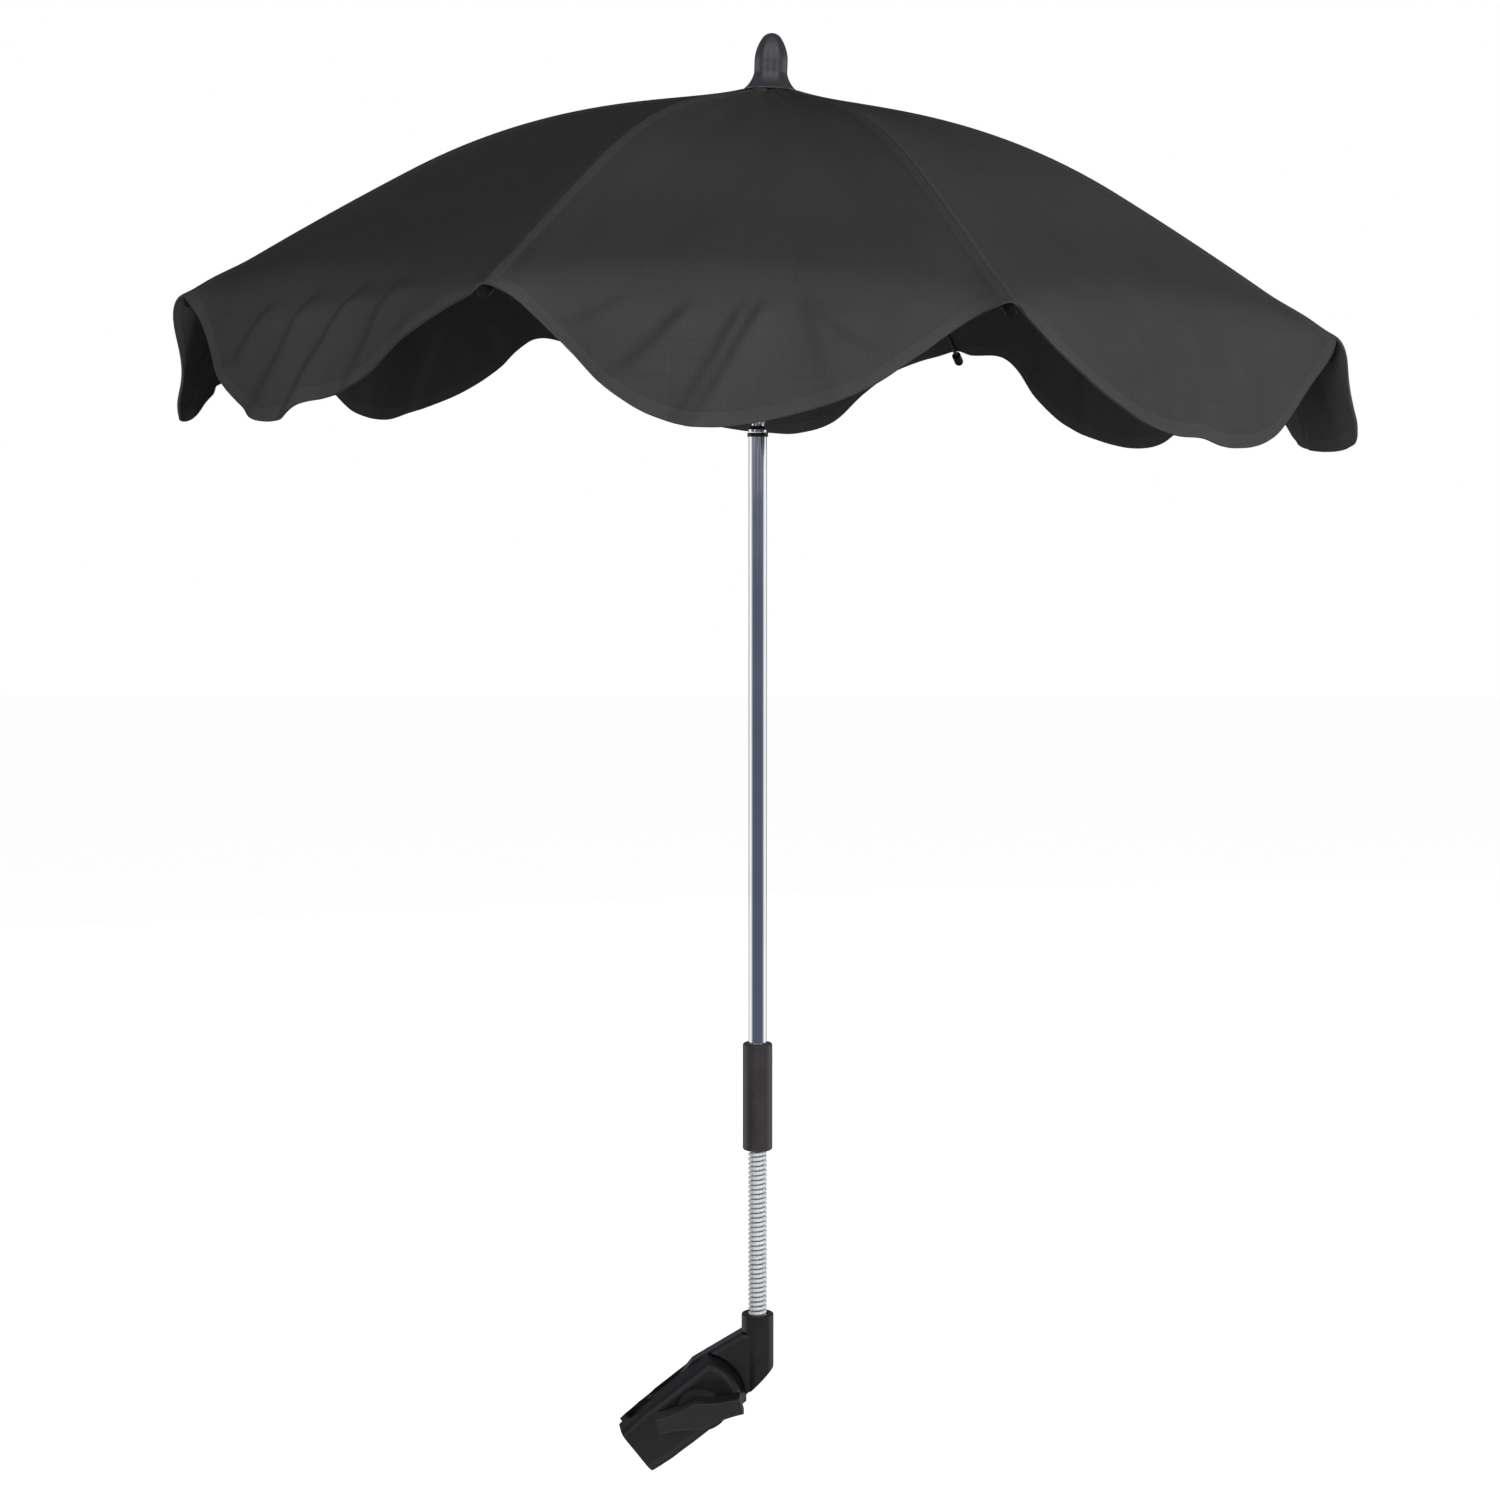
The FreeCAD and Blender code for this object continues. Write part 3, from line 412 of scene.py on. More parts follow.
def wound_wire(name, foot, head, start_side, wire, ring):
    """Wire wound up the neck's axis in half turns, made by screwing its round section upwards."""
    rise = head.z - foot.z
    half_turns = round(2 * rise / NECK_PITCH)
    tidy_selection()
    bpy.ops.mesh.primitive_circle_add(vertices=WIRE_SIDES, radius=wire / 2, fill_type="NOTHING",
                                      location=foot, rotation=(math.pi / 2, 0, 0))
    coil = bpy.context.object
    coil.name = name
    bpy.ops.object.transform_apply(location=False, rotation=True, scale=False)
    bpy.ops.object.mode_set(mode="EDIT")
    bpy.ops.mesh.select_all(action="SELECT")
    bpy.ops.transform.translate(value=(start_side * ring, 0, 0))
    bpy.ops.object.mode_set(mode="OBJECT")
    winding = coil.modifiers.new("winding", "SCREW")
    winding.axis = "Z"
    winding.angle = math.pi * half_turns
    winding.screw_offset = rise
    winding.steps = HALF_TURN_STEPS * half_turns
    winding.render_steps = HALF_TURN_STEPS * half_turns
    bpy.ops.object.modifier_apply(modifier=winding.name)
    bpy.ops.object.mode_set(mode="EDIT")
    bpy.ops.mesh.select_all(action="DESELECT")
    bpy.ops.mesh.select_mode(type="EDGE")
    bpy.ops.mesh.select_non_manifold(extend=False, use_wire=False, use_boundary=True, use_multi_face=False,
                                     use_non_contiguous=False, use_verts=False)
    bpy.ops.mesh.fill_holes(sides=0)
    bpy.ops.mesh.select_all(action="SELECT")
    bpy.ops.mesh.normals_make_consistent(inside=False)
    bpy.ops.object.mode_set(mode="OBJECT")
    bpy.ops.object.shade_smooth()
    bpy.ops.object.transform_apply(location=True, rotation=True, scale=True)
    return coil, -start_side if half_turns % 2 else start_side


def neck_core(name, node):
    """Core of the gooseneck, with rings enough to bend."""
    low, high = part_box(node)
    middle = (low + high) / 2
    tidy_selection()
    bpy.ops.mesh.primitive_cylinder_add(vertices=CORE_SIDES, radius=(high.x - low.x) / 2,
                                        depth=high.z - low.z, location=middle)
    core = bpy.context.object
    core.name = name
    bpy.ops.object.mode_set(mode="EDIT")
    bpy.ops.mesh.select_all(action="DESELECT")
    bpy.ops.mesh.select_mode(type="EDGE")
    bpy.ops.object.mode_set(mode="OBJECT")
    verts = core.data.vertices
    for edge in core.data.edges:
        a, b = (verts[i].co.z for i in edge.vertices)
        edge.select = abs(a - b) > LENGTHWISE
    bpy.ops.object.mode_set(mode="EDIT")
    bpy.ops.mesh.subdivide(number_cuts=CORE_RINGS)
    bpy.ops.object.mode_set(mode="OBJECT")
    bpy.ops.object.shade_smooth_by_angle(angle=math.radians(40))
    bpy.ops.object.transform_apply(location=True, rotation=True, scale=True)
    return core


neck_foot, neck_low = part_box("neck_coil_lower")
neck_high, neck_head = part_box("neck_coil_upper")
neck_axis = Vector(((neck_foot.x + neck_low.x) / 2, (neck_foot.y + neck_low.y) / 2, 0))
neck_heights = (neck_foot.z + WIRE / 2, (neck_low.z + neck_high.z) / 2, neck_head.z - WIRE / 2)
neck_halves = (("lower", "arm", "neck_mid"), ("upper", "neck_mid", "mast"))
wound_wires = []
wound_cores = []
side = 1
for i, (half, first_body, second_body) in enumerate(neck_halves):
    foot, head = (neck_axis + Vector((0, 0, height)) for height in neck_heights[i:i + 2])
    coil, side = wound_wire(f"gooseneck_wire_{half}", foot, head, side, WIRE, COIL_RING)
    core = neck_core(f"gooseneck_core_{half}", f"neck_core_{half}")
    for piece, node in ((coil, f"neck_coil_{half}"), (core, f"neck_core_{half}")):
        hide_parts(node)
        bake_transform(piece)
    wound_wires.append(coil)
    wound_cores.append(core)


# Finishes. Weave and grain are per metre, and patches is the range of slow noise that shades a finish.
THREADS = 2400.0
SLUB_FINE = 900.0
SLUB_LONG = 14.0
PLASTIC_GRAIN = 2600.0
STEEL_GRAIN = 1800.0
PATCHES = (0.3, 0.7)
HAZE = (0.35, 0.65)


def new_group(name, inputs, outputs):
    group = bpy.data.node_groups.new(name, "ShaderNodeTree")
    for title, kind, value in inputs:
        socket = group.interface.new_socket(title, in_out="INPUT", socket_type=kind)
        if value is not None:
            socket.default_value = value
    for title, kind in outputs:
        group.interface.new_socket(title, in_out="OUTPUT", socket_type=kind)
    return group, group.nodes.new("NodeGroupInput"), group.nodes.new("NodeGroupOutput")


def math_node(tree, operation, first, second=None, third=None):
    node = tree.nodes.new("ShaderNodeMath")
    node.operation = operation
    for socket, value in zip(node.inputs, (first, second, third)):
        if value is None:
            continue
        if isinstance(value, (int, float)):
            socket.default_value = value
        else:
            tree.links.new(value, socket)
    return node.outputs[0]


def noise_node(tree, vector, scale, detail=3.0, roughness=0.5, distortion=0.0):
    node = tree.nodes.new("ShaderNodeTexNoise")
    for title, value in (("Vector", vector), ("Scale", scale), ("Detail", detail), ("Roughness", roughness),
                         ("Distortion", distortion)):
        if isinstance(value, (int, float)):
            node.inputs[title].default_value = value
        else:
            tree.links.new(value, node.inputs[title])
    return node.outputs["Fac"]


def span_node(tree, value, low, high, out_low, out_high, ease="LINEAR"):
    node = tree.nodes.new("ShaderNodeMapRange")
    node.interpolation_type = ease
    tree.links.new(value, node.inputs["Value"])
    for title, number in (("From Min", low), ("From Max", high), ("To Min", out_low), ("To Max", out_high)):
        if isinstance(number, (int, float)):
            node.inputs[title].default_value = number
        else:
            tree.links.new(number, node.inputs[title])
    return node.outputs["Result"]


def weave_group():
    """Plain weave from a lay in metres: thread height and a shade that differs from thread to thread."""
    group, entry, exit_ = new_group("plain weave", [("Lay", "NodeSocketVector", None),
                                                    ("Threads per metre", "NodeSocketFloat", THREADS)],
                                    [("Height", "NodeSocketFloat"), ("Shade", "NodeSocketFloat")])
    split = group.nodes.new("ShaderNodeSeparateXYZ")
    group.links.new(entry.outputs["Lay"], split.inputs[0])
    threads = entry.outputs["Threads per metre"]
    across = math_node(group, "MULTIPLY", split.outputs["X"], threads)
    down = math_node(group, "MULTIPLY", split.outputs["Y"], threads)
    weft = math_node(group, "SINE", math_node(group, "MULTIPLY", across, math.pi))
    warp = math_node(group, "SINE", math_node(group, "MULTIPLY", down, math.pi))
    height = math_node(group, "MULTIPLY_ADD", math_node(group, "MULTIPLY", weft, warp), 0.5, 0.5)
    group.links.new(height, exit_.inputs["Height"])
    slubs = []
    for pace_across, pace_down in ((SLUB_FINE, SLUB_LONG), (SLUB_LONG, SLUB_FINE)):
        stretch = group.nodes.new("ShaderNodeCombineXYZ")
        group.links.new(math_node(group, "MULTIPLY", split.outputs["X"], pace_across), stretch.inputs["X"])
        group.links.new(math_node(group, "MULTIPLY", split.outputs["Y"], pace_down), stretch.inputs["Y"])
        slub = noise_node(group, stretch.outputs[0], 1.0, 2.0)
        slubs.append(math_node(group, "MULTIPLY", slub, 0.5))
    group.links.new(math_node(group, "ADD", *slubs), exit_.inputs["Shade"])
    return group


def stitch_group():
    """A row of stitches at one distance from an edge, as a mask."""
    group, entry, exit_ = new_group("stitch row", [("Run", "NodeSocketFloat", 0.0),
                                                   ("Distance", "NodeSocketFloat", 0.0),
                                                   ("Line", "NodeSocketFloat", 0.005),
                                                   ("Stitch", "NodeSocketFloat", 0.0028),
                                                   ("Thread", "NodeSocketFloat", 0.0004)],
                                    [("Mask", "NodeSocketFloat"), ("Furrow", "NodeSocketFloat")])
    stitches = math_node(group, "DIVIDE", entry.outputs["Run"], entry.outputs["Stitch"])
    beat = math_node(group, "FRACT", stitches)
    from_middle = math_node(group, "ABSOLUTE", math_node(group, "SUBTRACT", beat, 0.5))
    dash = span_node(group, from_middle, 0.30, 0.40, 1.0, 0.0, "SMOOTHSTEP")
    aside = math_node(group, "SUBTRACT", entry.outputs["Distance"], entry.outputs["Line"])
    away = math_node(group, "ABSOLUTE", aside)
    near = span_node(group, away, 0.0, entry.outputs["Thread"], 1.0, 0.0, "SMOOTHSTEP")
    group.links.new(math_node(group, "MULTIPLY", dash, near), exit_.inputs["Mask"])
    wide = math_node(group, "MULTIPLY", entry.outputs["Thread"], 3.0)
    group.links.new(span_node(group, away, 0.0, wide, 1.0, 0.0, "SMOOTHSTEP"), exit_.inputs["Furrow"])
    return group


def grain_group():
    """Fine moulded grain with slow patches: a height, a patchiness and small scuffs."""
    group, entry, exit_ = new_group("moulded grain", [("Place", "NodeSocketVector", None),
                                                      ("Grain per metre", "NodeSocketFloat", PLASTIC_GRAIN)],
                                    [("Height", "NodeSocketFloat"), ("Patches", "NodeSocketFloat"),
                                     ("Scuffs", "NodeSocketFloat")])
    fine = noise_node(group, entry.outputs["Place"], entry.outputs["Grain per metre"], 2.0, 0.6)
    slow = noise_node(group, entry.outputs["Place"], 60.0, 4.0, 0.55)
    marks = noise_node(group, entry.outputs["Place"], 420.0, 5.0, 0.7, 1.4)
    group.links.new(fine, exit_.inputs["Height"])
    group.links.new(slow, exit_.inputs["Patches"])
    group.links.new(span_node(group, marks, 0.62, 0.74, 0.0, 1.0, "SMOOTHSTEP"), exit_.inputs["Scuffs"])
    return group


PLAIN_WEAVE = weave_group()
STITCH_ROW = stitch_group()
MOULDED_GRAIN = grain_group()


def new_finish(name):
    finish = bpy.data.materials.new(name)
    finish.use_nodes = True
    tree = finish.node_tree
    return finish, tree, tree.nodes["Principled BSDF"]


def place_group(tree, group, **values):
    node = tree.nodes.new("ShaderNodeGroup")
    node.node_tree = group
    for title, value in values.items():
        socket = node.inputs[title.replace("_", " ")]
        if isinstance(value, (int, float)):
            socket.default_value = value
        else:
            tree.links.new(value, socket)
    return node


def measure(tree, name):
    node = tree.nodes.new("ShaderNodeAttribute")
    node.attribute_name = name
    return node.outputs["Fac"]


def mix_colour(tree, share, first, second):
    node = tree.nodes.new("ShaderNodeMix")
    node.data_type = "RGBA"
    tree.links.new(share, node.inputs[0])
    for socket, value in ((node.inputs[6], first), (node.inputs[7], second)):
        if isinstance(value, tuple):
            socket.default_value = (*value, 1.0)
        else:
            tree.links.new(value, socket)
    return node.outputs[2]


def bump_node(tree, height, strength, distance, under=None):
    node = tree.nodes.new("ShaderNodeBump")
    node.inputs["Strength"].default_value = strength
    node.inputs["Distance"].default_value = distance
    tree.links.new(height, node.inputs["Height"])
    if under is not None:
        tree.links.new(under, node.inputs["Normal"])
    return node.outputs["Normal"]


def cloth_finish():
    """Black cotton cloth: weave, slubs, felled seams over the ribs and a twice stitched hem."""
    finish, tree, shader = new_finish("canopy_cloth_black")
    lay = tree.nodes.new("ShaderNodeUVMap")
    lay.uv_map = "lay"
    weave = place_group(tree, PLAIN_WEAVE, Lay=lay.outputs["UV"], Threads_per_metre=THREADS)
    coords = tree.nodes.new("ShaderNodeTexCoord").outputs["Object"]
    slow = noise_node(tree, coords, 9.0, 4.0, 0.6)
    lint = noise_node(tree, coords, 700.0, 2.0, 0.7)
    seam, hem, run, down = (measure(tree, title) for title in ("seam", "hem", "run", "down"))
    seam_rows = place_group(tree, STITCH_ROW, Run=down, Distance=seam, Line=SEAM_LINE)
    hem_rows = place_group(tree, STITCH_ROW, Run=run, Distance=hem, Line=HEM_LINE)
    edge_rows = place_group(tree, STITCH_ROW, Run=run, Distance=hem, Line=EDGE_LINE)
    stitches = math_node(tree, "MAXIMUM", seam_rows.outputs["Mask"],
                         math_node(tree, "MAXIMUM", hem_rows.outputs["Mask"], edge_rows.outputs["Mask"]))
    furrows = math_node(tree, "MAXIMUM", seam_rows.outputs["Furrow"],
                        math_node(tree, "MAXIMUM", hem_rows.outputs["Furrow"], edge_rows.outputs["Furrow"]))
    seam_band = span_node(tree, seam, SEAM_LINE, SEAM_LINE + BAND_FADE, 1.0, 0.0, "SMOOTHSTEP")
    hem_band = span_node(tree, hem, HEM_LINE, HEM_LINE + BAND_FADE, 1.0, 0.0, "SMOOTHSTEP")
    band = math_node(tree, "MAXIMUM", seam_band, hem_band)
    shade = math_node(tree, "ADD", math_node(tree, "MULTIPLY", weave.outputs["Shade"], 0.55),
                      math_node(tree, "MULTIPLY", slow, 0.45))
    tone = span_node(tree, shade, *PATCHES, 0.0, 1.0)
    cloth = mix_colour(tree, tone, (0.0450, 0.0450, 0.0457), (0.0590, 0.0590, 0.0595))
    cloth = mix_colour(tree, math_node(tree, "MULTIPLY", band, 0.35), cloth, (0.071, 0.071, 0.072))
    specks = span_node(tree, lint, 0.70, 0.76, 0.0, 0.5, "SMOOTHSTEP")
    cloth = mix_colour(tree, specks, cloth, (0.095, 0.095, 0.095))
    cloth = mix_colour(tree, math_node(tree, "MULTIPLY", stitches, 0.7), cloth, (0.082, 0.082, 0.084))
    tree.links.new(cloth, shader.inputs["Base Color"])
    tree.links.new(span_node(tree, weave.outputs["Shade"], *PATCHES, 0.82, 0.95), shader.inputs["Roughness"])
    shader.inputs["Specular IOR Level"].default_value = 0.04
    shader.inputs["Sheen Weight"].default_value = 0.012
    shader.inputs["Sheen Roughness"].default_value = 0.55
    shader.inputs["Sheen Tint"].default_value = (0.9, 0.9, 0.92, 1.0)
    normal = bump_node(tree, weave.outputs["Height"], 0.35, 0.00012)
    relief = math_node(tree, "ADD", math_node(tree, "MULTIPLY", band, 0.6),
                       math_node(tree, "SUBTRACT", math_node(tree, "MULTIPLY", stitches, 0.4),
                                 math_node(tree, "MULTIPLY", furrows, 0.35)))
    normal = bump_node(tree, relief, 0.8, 0.0005, normal)
    creases = noise_node(tree, coords, 45.0, 3.0, 0.55, 0.6)
    normal = bump_node(tree, creases, 0.12, 0.002, normal)
    tree.links.new(normal, shader.inputs["Normal"])
    return finish


def plastic_finish(name, dark, pale, gloss, grain=PLASTIC_GRAIN, relief=0.12, shine=0.5, index=1.5):
    """Moulded plastic with a fine grain, slow patches and a few paler scuffs."""
    finish, tree, shader = new_finish(name)
    coords = tree.nodes.new("ShaderNodeTexCoord").outputs["Object"]
    mould = place_group(tree, MOULDED_GRAIN, Place=coords, Grain_per_metre=grain)
    tone = span_node(tree, mould.outputs["Patches"], *PATCHES, 0.0, 1.0)
    colour = mix_colour(tree, tone, dark, pale)
    scuffed = tuple(2.2 * c for c in pale)
    colour = mix_colour(tree, math_node(tree, "MULTIPLY", mould.outputs["Scuffs"], 0.35), colour, scuffed)
    tree.links.new(colour, shader.inputs["Base Color"])
    patchy = span_node(tree, mould.outputs["Patches"], *PATCHES, gloss - 0.05, gloss + 0.06)
    rough = math_node(tree, "ADD", patchy, math_node(tree, "MULTIPLY", mould.outputs["Scuffs"], 0.15))
    tree.links.new(rough, shader.inputs["Roughness"])
    tree.links.new(bump_node(tree, mould.outputs["Height"], relief, 0.0004), shader.inputs["Normal"])
    shader.inputs["Specular IOR Level"].default_value = shine
    shader.inputs["IOR"].default_value = index
    return finish


def chrome_finish():
    """Chromed tube with fine lengthwise polish lines, small pits and hazy patches."""
    finish, tree, shader = new_finish("chrome_polished")
    coords = tree.nodes.new("ShaderNodeTexCoord").outputs["Object"]
    long = tree.nodes.new("ShaderNodeMapping")
    long.inputs["Scale"].default_value = (1.0, 1.0, 0.02)
    tree.links.new(coords, long.inputs["Vector"])
    lines = noise_node(tree, long.outputs["Vector"], 2200.0, 2.0)
    pits = noise_node(tree, coords, 900.0, 3.0, 0.65)
    haze = noise_node(tree, coords, 40.0, 3.0)
    pit_mask = span_node(tree, pits, 0.74, 0.80, 0.0, 1.0, "SMOOTHSTEP")
    tone = span_node(tree, haze, *HAZE, 0.0, 1.0)
    colour = mix_colour(tree, tone, (0.90, 0.92, 0.95), (0.95, 0.96, 0.98))
    colour = mix_colour(tree, math_node(tree, "MULTIPLY", pit_mask, 0.7), colour, (0.30, 0.31, 0.34))
    tree.links.new(colour, shader.inputs["Base Color"])
    shader.inputs["Metallic"].default_value = 1.0
    hazy = span_node(tree, haze, *HAZE, 0.05, 0.10)
    rough = math_node(tree, "ADD", hazy, math_node(tree, "MULTIPLY", pit_mask, 0.3))
    tree.links.new(rough, shader.inputs["Roughness"])
    normal = bump_node(tree, lines, 0.02, 0.0001)
    normal = bump_node(tree, pit_mask, 0.15, 0.0001, normal)
    tree.links.new(normal, shader.inputs["Normal"])
    return finish


def steel_finish(name, dark, pale, gloss, metal=1.0):
    """Plated or painted steel with a fine grain, slow patches and small dull spots."""
    finish, tree, shader = new_finish(name)
    coords = tree.nodes.new("ShaderNodeTexCoord").outputs["Object"]
    mould = place_group(tree, MOULDED_GRAIN, Place=coords, Grain_per_metre=STEEL_GRAIN)
    tone = span_node(tree, mould.outputs["Patches"], *PATCHES, 0.0, 1.0)
    colour = mix_colour(tree, tone, dark, pale)
    dulled = tuple(0.5 * c for c in dark)
    colour = mix_colour(tree, math_node(tree, "MULTIPLY", mould.outputs["Scuffs"], 0.4), colour, dulled)
    tree.links.new(colour, shader.inputs["Base Color"])
    shader.inputs["Metallic"].default_value = metal
    patchy = span_node(tree, mould.outputs["Patches"], *PATCHES, gloss - 0.04, gloss + 0.06)
    rough = math_node(tree, "ADD", patchy, math_node(tree, "MULTIPLY", mould.outputs["Scuffs"], 0.2))
    tree.links.new(rough, shader.inputs["Roughness"])
    tree.links.new(bump_node(tree, mould.outputs["Height"], 0.08, 0.0002), shader.inputs["Normal"])
    return finish


finishes = {
    "canopy_cloth": cloth_finish(),
    "chrome": chrome_finish(),
    "gooseneck_steel": steel_finish("gooseneck_zinc", (0.84, 0.86, 0.87), (0.94, 0.95, 0.96), 0.14, 0.35),
    # the core is a darker grey than the wire: painted shade, so the gaps between the turns look dark
    "neck_core": steel_finish("neck_core_painted_shade", (0.55, 0.56, 0.57), (0.65, 0.66, 0.67), 0.40),
    "rib_steel": steel_finish("rib_paint_black", (0.009, 0.009, 0.010), (0.015, 0.015, 0.016), 0.30, 0.0),
    "plain_steel": steel_finish("plated_steel", (0.50, 0.50, 0.52), (0.62, 0.62, 0.64), 0.28),
    "rubber": plastic_finish("clamp_rubber", (0.019, 0.019, 0.019), (0.031, 0.031, 0.031), 0.75, 1400.0, 0.2),
    "black_plastic": plastic_finish("moulded_black", (0.0068, 0.0056, 0.0057),
                                    (0.0100, 0.0083, 0.0084), 0.36),
}
# the grip takes a paler copy of the black plastic: its highlight is painted into its colour
grip_plastic_painted_highlight = plastic_finish("grip_black_painted_highlight", (0.030, 0.0255, 0.0262), (0.041, 0.0345, 0.0355), 0.34)
shiny_plastic = plastic_finish("finial_black", (0.006, 0.005, 0.0056), (0.009, 0.0076, 0.0084), 0.38,
                               shine=1.0, index=1.7)
wing_plastic = plastic_finish("wing_black", (0.0126, 0.0106, 0.0109), (0.0166, 0.0143, 0.0146), 0.40)
dull_plastic = plastic_finish("cap_black", (0.003, 0.003, 0.003), (0.005, 0.005, 0.005), 0.45, shine=0.15)
other_finishes = {"grip_sleeve": grip_plastic_painted_highlight, "finial": shiny_plastic, "wing_nut": wing_plastic}
other_finishes.update({f"rib_tip_{k}": dull_plastic for k in range(1, GORES + 1)})

for subpart in frame["record"]["subparts"]:
    node = nodes[subpart["node"]]
    node.data.materials.clear()
    node.data.materials.append(other_finishes.get(subpart["node"], finishes[subpart["material_slot"]]))
for piece in cloth_pieces:
    piece.data.materials.append(finishes["canopy_cloth"])
for pieces, finish in ((wound_wires, finishes["gooseneck_steel"]), (wound_cores, finishes["neck_core"])):
    for piece in pieces:
        piece.data.materials.clear()
        piece.data.materials.append(finish)


# Studio: pale floor, white background, soft lamps in front and behind, and the surround that shiny
# surfaces show, as ramps over a direction: from, to, value before, value after
FLOOR_SIZE = 14.0
FLOOR_GAP = 0.02
FLOOR_GREY = 0.18
FLOOR_GLOW = 0.97
FILL = 0.04
BEHIND = (-0.55, 0.25, 0.0, 1.0)
BACKDROP = (0.45, 0.85, 1.0, 0.15)
LEVEL = (0.12, 0.35, 1.0, 0.15)
LEVEL_DROP = 0.09
BOX_TURNS = 8.0
BOX_GAPS = (-0.7, 0.1, 0.0, 1.0)
BOX_SPREAD = (0.95, 1.2, 1.0, 0.0)
BOX_DROP = 0.14
BOX_LOW_EDGE = (0.13, 0.22, 0.0, 1.0)
BOX_HIGH_EDGE = (0.95, 1.06, 1.0, 0.0)
BETWEEN_BOXES = 0.22
SURROUND_DARK = (0.085, 0.095, 0.14)
WHITE = (1.0, 1.0, 1.0)
LAMP_AIM = (0.05, 0, 0.62)
LAMPS = {
    "front_left_lamp": ((-0.6, -2.3, 0.60), (0.8, 1.2), 37),
    "front_right_lamp": ((2.45, -1.10, 1.12), (0.8, 1.2), 52),
    "back_lamp": ((-0.8, 2.4, 0.85), (1.2, 1.2), 60),
}

# Camera: where it looks, from the top of the pole, in metres, and its lens in millimetres
NECK_ABOVE_POLE = 0.0064
AIM_LEFT = 0.0046
AIM_BELOW_NECK = 0.1934
VIEW_LENS = 74.4
VIEW_DISTANCE = 1.86
VIEW_RISE = math.radians(5)


def studio_floor(height):
    tidy_selection()
    bpy.ops.mesh.primitive_plane_add(size=FLOOR_SIZE, location=(0, 0, height))
    floor = bpy.context.object
    floor.name = "studio_floor"
    finish = bpy.data.materials.new("studio_white")
    finish.use_nodes = True
    tree = finish.node_tree
    tree.nodes.clear()
    diffuse = tree.nodes.new("ShaderNodeBsdfDiffuse")
    diffuse.inputs["Color"].default_value = (FLOOR_GREY, FLOOR_GREY, FLOOR_GREY, 1)
    glow = tree.nodes.new("ShaderNodeEmission")
    glow.inputs["Strength"].default_value = FLOOR_GLOW
    ray = tree.nodes.new("ShaderNodeLightPath")
    seen = math_node(tree, "MAXIMUM", ray.outputs["Is Camera Ray"], ray.outputs["Is Transmission Ray"])
    both = tree.nodes.new("ShaderNodeAddShader")
    tree.links.new(diffuse.outputs[0], both.inputs[0])
    tree.links.new(glow.outputs[0], both.inputs[1])
    pick = tree.nodes.new("ShaderNodeMixShader")
    tree.links.new(seen, pick.inputs[0])
    tree.links.new(diffuse.outputs[0], pick.inputs[1])
    tree.links.new(both.outputs[0], pick.inputs[2])
    # seen from below, the floor lets the object show through
    under = tree.nodes.new("ShaderNodeNewGeometry").outputs["Backfacing"]
    clear = tree.nodes.new("ShaderNodeBsdfTransparent")
    one_sided = tree.nodes.new("ShaderNodeMixShader")
    tree.links.new(under, one_sided.inputs[0])
    tree.links.new(pick.outputs[0], one_sided.inputs[1])
    tree.links.new(clear.outputs[0], one_sided.inputs[2])
    out = tree.nodes.new("ShaderNodeOutputMaterial")
    tree.links.new(one_sided.outputs[0], out.inputs["Surface"])
    floor.data.materials.append(finish)
    floor.visible_glossy = False


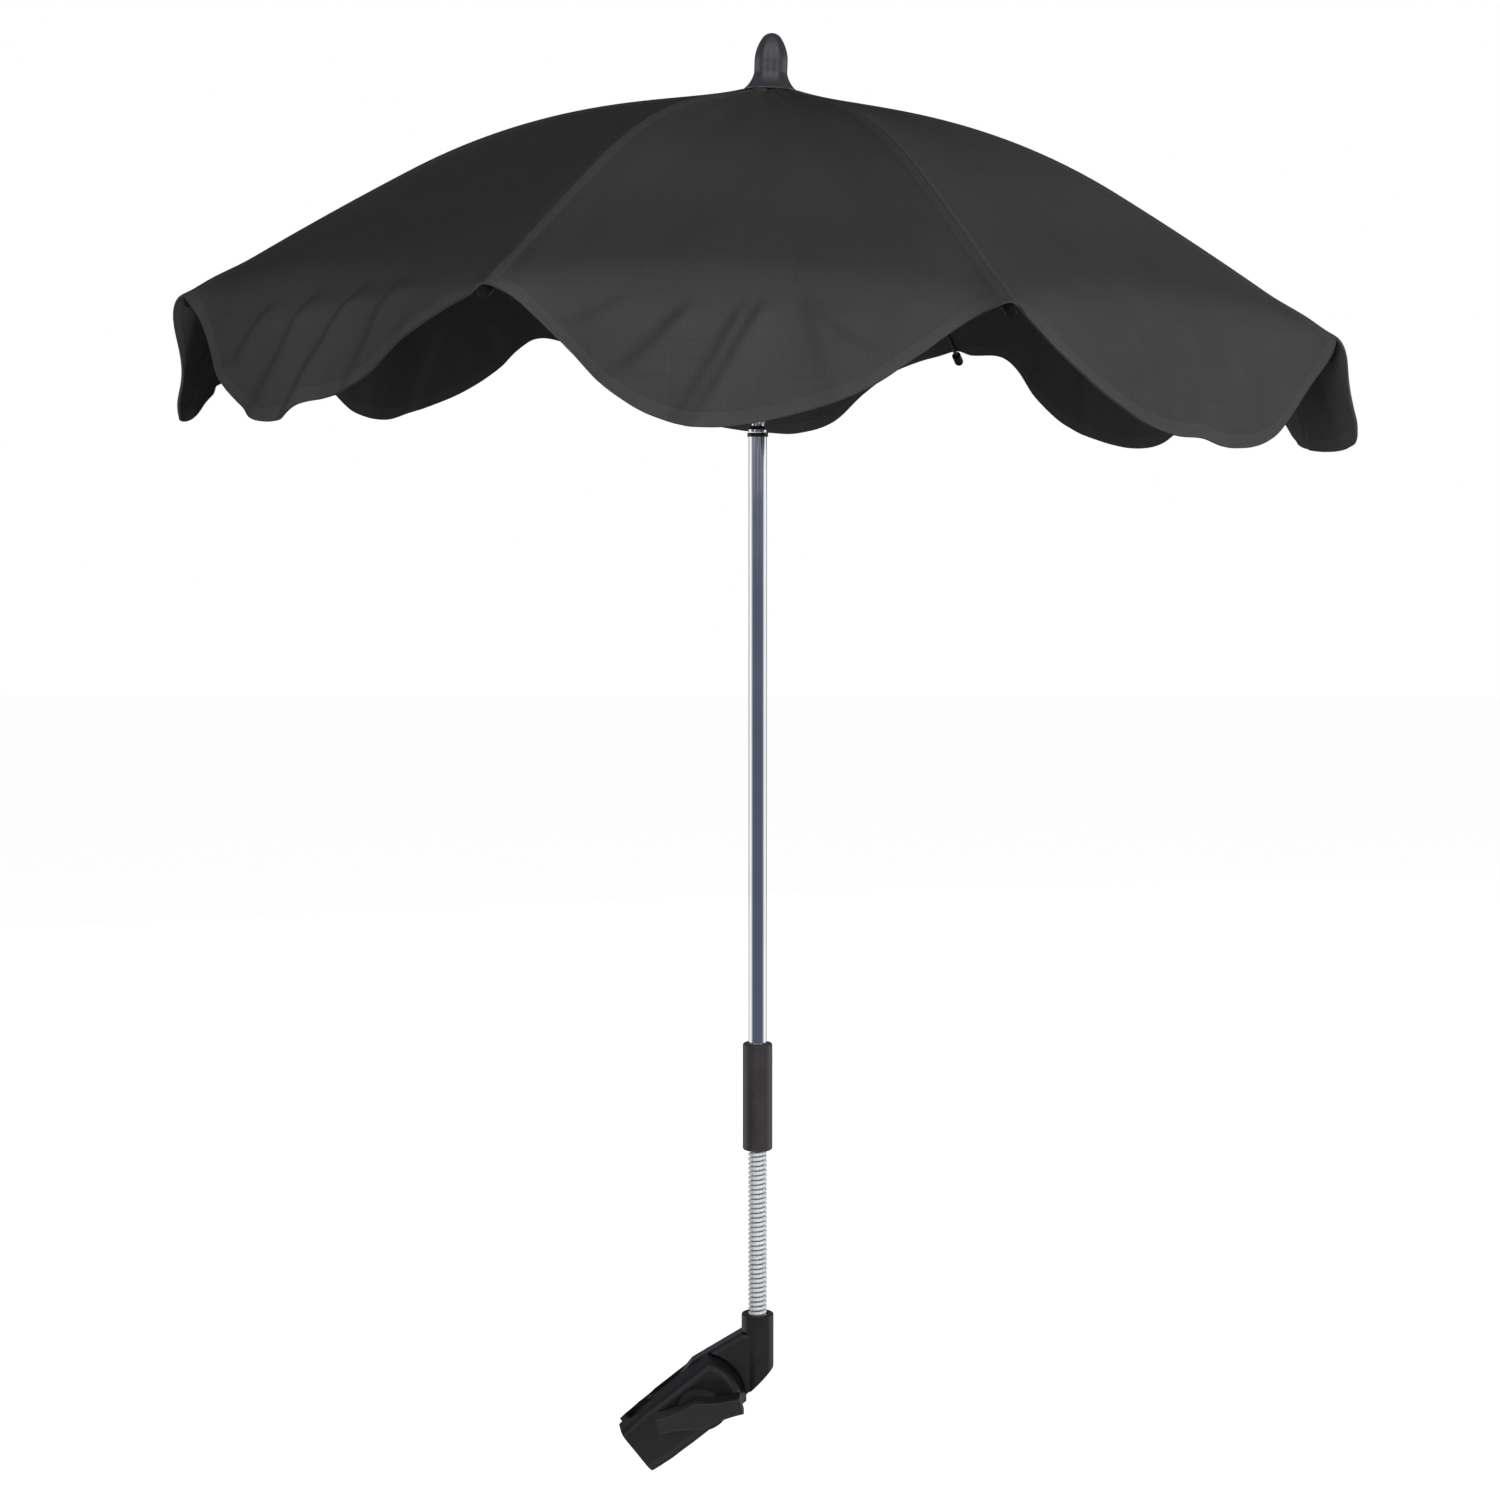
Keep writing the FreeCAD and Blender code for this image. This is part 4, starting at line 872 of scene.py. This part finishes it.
def studio_world():
    world = bpy.data.worlds.new("white_surround")
    bpy.context.scene.world = world
    world.use_nodes = True
    tree = world.node_tree
    tree.nodes.clear()
    way = tree.nodes.new("ShaderNodeTexCoord").outputs["Generated"]
    split = tree.nodes.new("ShaderNodeSeparateXYZ")
    tree.links.new(way, split.inputs[0])
    behind = span_node(tree, split.outputs["Y"], *BEHIND, "SMOOTHSTEP")
    backdrop = span_node(tree, split.outputs["Y"], *BACKDROP, "SMOOTHSTEP")
    off_level = math_node(tree, "ABSOLUTE", math_node(tree, "ADD", split.outputs["Z"], LEVEL_DROP))
    level = span_node(tree, off_level, *LEVEL, "SMOOTHSTEP")
    surround = math_node(tree, "MULTIPLY", math_node(tree, "MULTIPLY", behind, backdrop), level)
    # three soft boxes in front, above and below the level, seen only by surfaces that tip up or down
    forwards = math_node(tree, "MULTIPLY", split.outputs["Y"], -1.0)
    turn = math_node(tree, "ARCTAN2", split.outputs["X"], forwards)
    waves = math_node(tree, "COSINE", math_node(tree, "MULTIPLY", turn, BOX_TURNS))
    rows = span_node(tree, waves, *BOX_GAPS, "SMOOTHSTEP")
    wide = span_node(tree, math_node(tree, "ABSOLUTE", turn), *BOX_SPREAD, "SMOOTHSTEP")
    tilt = math_node(tree, "ABSOLUTE", math_node(tree, "ADD", split.outputs["Z"], BOX_DROP))
    low_edge = span_node(tree, tilt, *BOX_LOW_EDGE, "SMOOTHSTEP")
    high_edge = span_node(tree, tilt, *BOX_HIGH_EDGE, "SMOOTHSTEP")
    boxes = math_node(tree, "MULTIPLY", math_node(tree, "MULTIPLY", rows, wide),
                      math_node(tree, "MULTIPLY", low_edge, high_edge))
    between = math_node(tree, "MULTIPLY", math_node(tree, "MULTIPLY", wide, low_edge), BETWEEN_BOXES)
    bright = math_node(tree, "MAXIMUM", surround, math_node(tree, "MAXIMUM", boxes, between))
    ray = tree.nodes.new("ShaderNodeLightPath")
    mirror = math_node(tree, "MAXIMUM", ray.outputs["Is Glossy Ray"], ray.outputs["Is Transmission Ray"])
    tint = mix_colour(tree, bright, SURROUND_DARK, WHITE)
    seen_colour = mix_colour(tree, mirror, WHITE, tint)
    seen = tree.nodes.new("ShaderNodeBackground")
    tree.links.new(seen_colour, seen.inputs["Color"])
    fill = tree.nodes.new("ShaderNodeBackground")
    fill.inputs["Color"].default_value = (*WHITE, 1)
    fill.inputs["Strength"].default_value = FILL
    pick = tree.nodes.new("ShaderNodeMixShader")
    tree.links.new(math_node(tree, "MAXIMUM", ray.outputs["Is Camera Ray"], mirror), pick.inputs[0])
    tree.links.new(fill.outputs[0], pick.inputs[1])
    tree.links.new(seen.outputs[0], pick.inputs[2])
    out = tree.nodes.new("ShaderNodeOutputWorld")
    tree.links.new(pick.outputs[0], out.inputs["Surface"])


def studio_lamp(name, place, aim, size, power):
    lamp = bpy.data.lights.new(name, "AREA")
    lamp.shape = "RECTANGLE"
    lamp.size, lamp.size_y = size
    lamp.energy = power
    stand = bpy.data.objects.new(name, lamp)
    bpy.context.collection.objects.link(stand)
    stand.location = place
    stand.visible_glossy = False
    stand.rotation_euler = (Vector(aim) - Vector(place)).to_track_quat("-Z", "Y").to_euler()


pole_low, pole_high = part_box("pole_tube")
pole_x = (pole_low.x + pole_high.x) / 2
neck_z = pole_high.z + NECK_ABOVE_POLE
view_aim = Vector((pole_x - AIM_LEFT, 0, neck_z - AIM_BELOW_NECK))
studio_floor(cad_box[0].z - FLOOR_GAP)
studio_world()
for name, (place, size, power) in LAMPS.items():
    studio_lamp(name, place, LAMP_AIM, size, power)

camera_data = bpy.data.cameras.new("photo_view")
camera_data.lens = VIEW_LENS
camera = bpy.data.objects.new("photo_view", camera_data)
bpy.context.collection.objects.link(camera)
camera.location = view_aim + VIEW_DISTANCE * Vector((0, -math.cos(VIEW_RISE), math.sin(VIEW_RISE)))
camera.rotation_euler = (math.pi / 2 - VIEW_RISE, 0, 0)
bpy.context.scene.camera = camera
bpy.context.scene.view_settings.view_transform = "Standard"
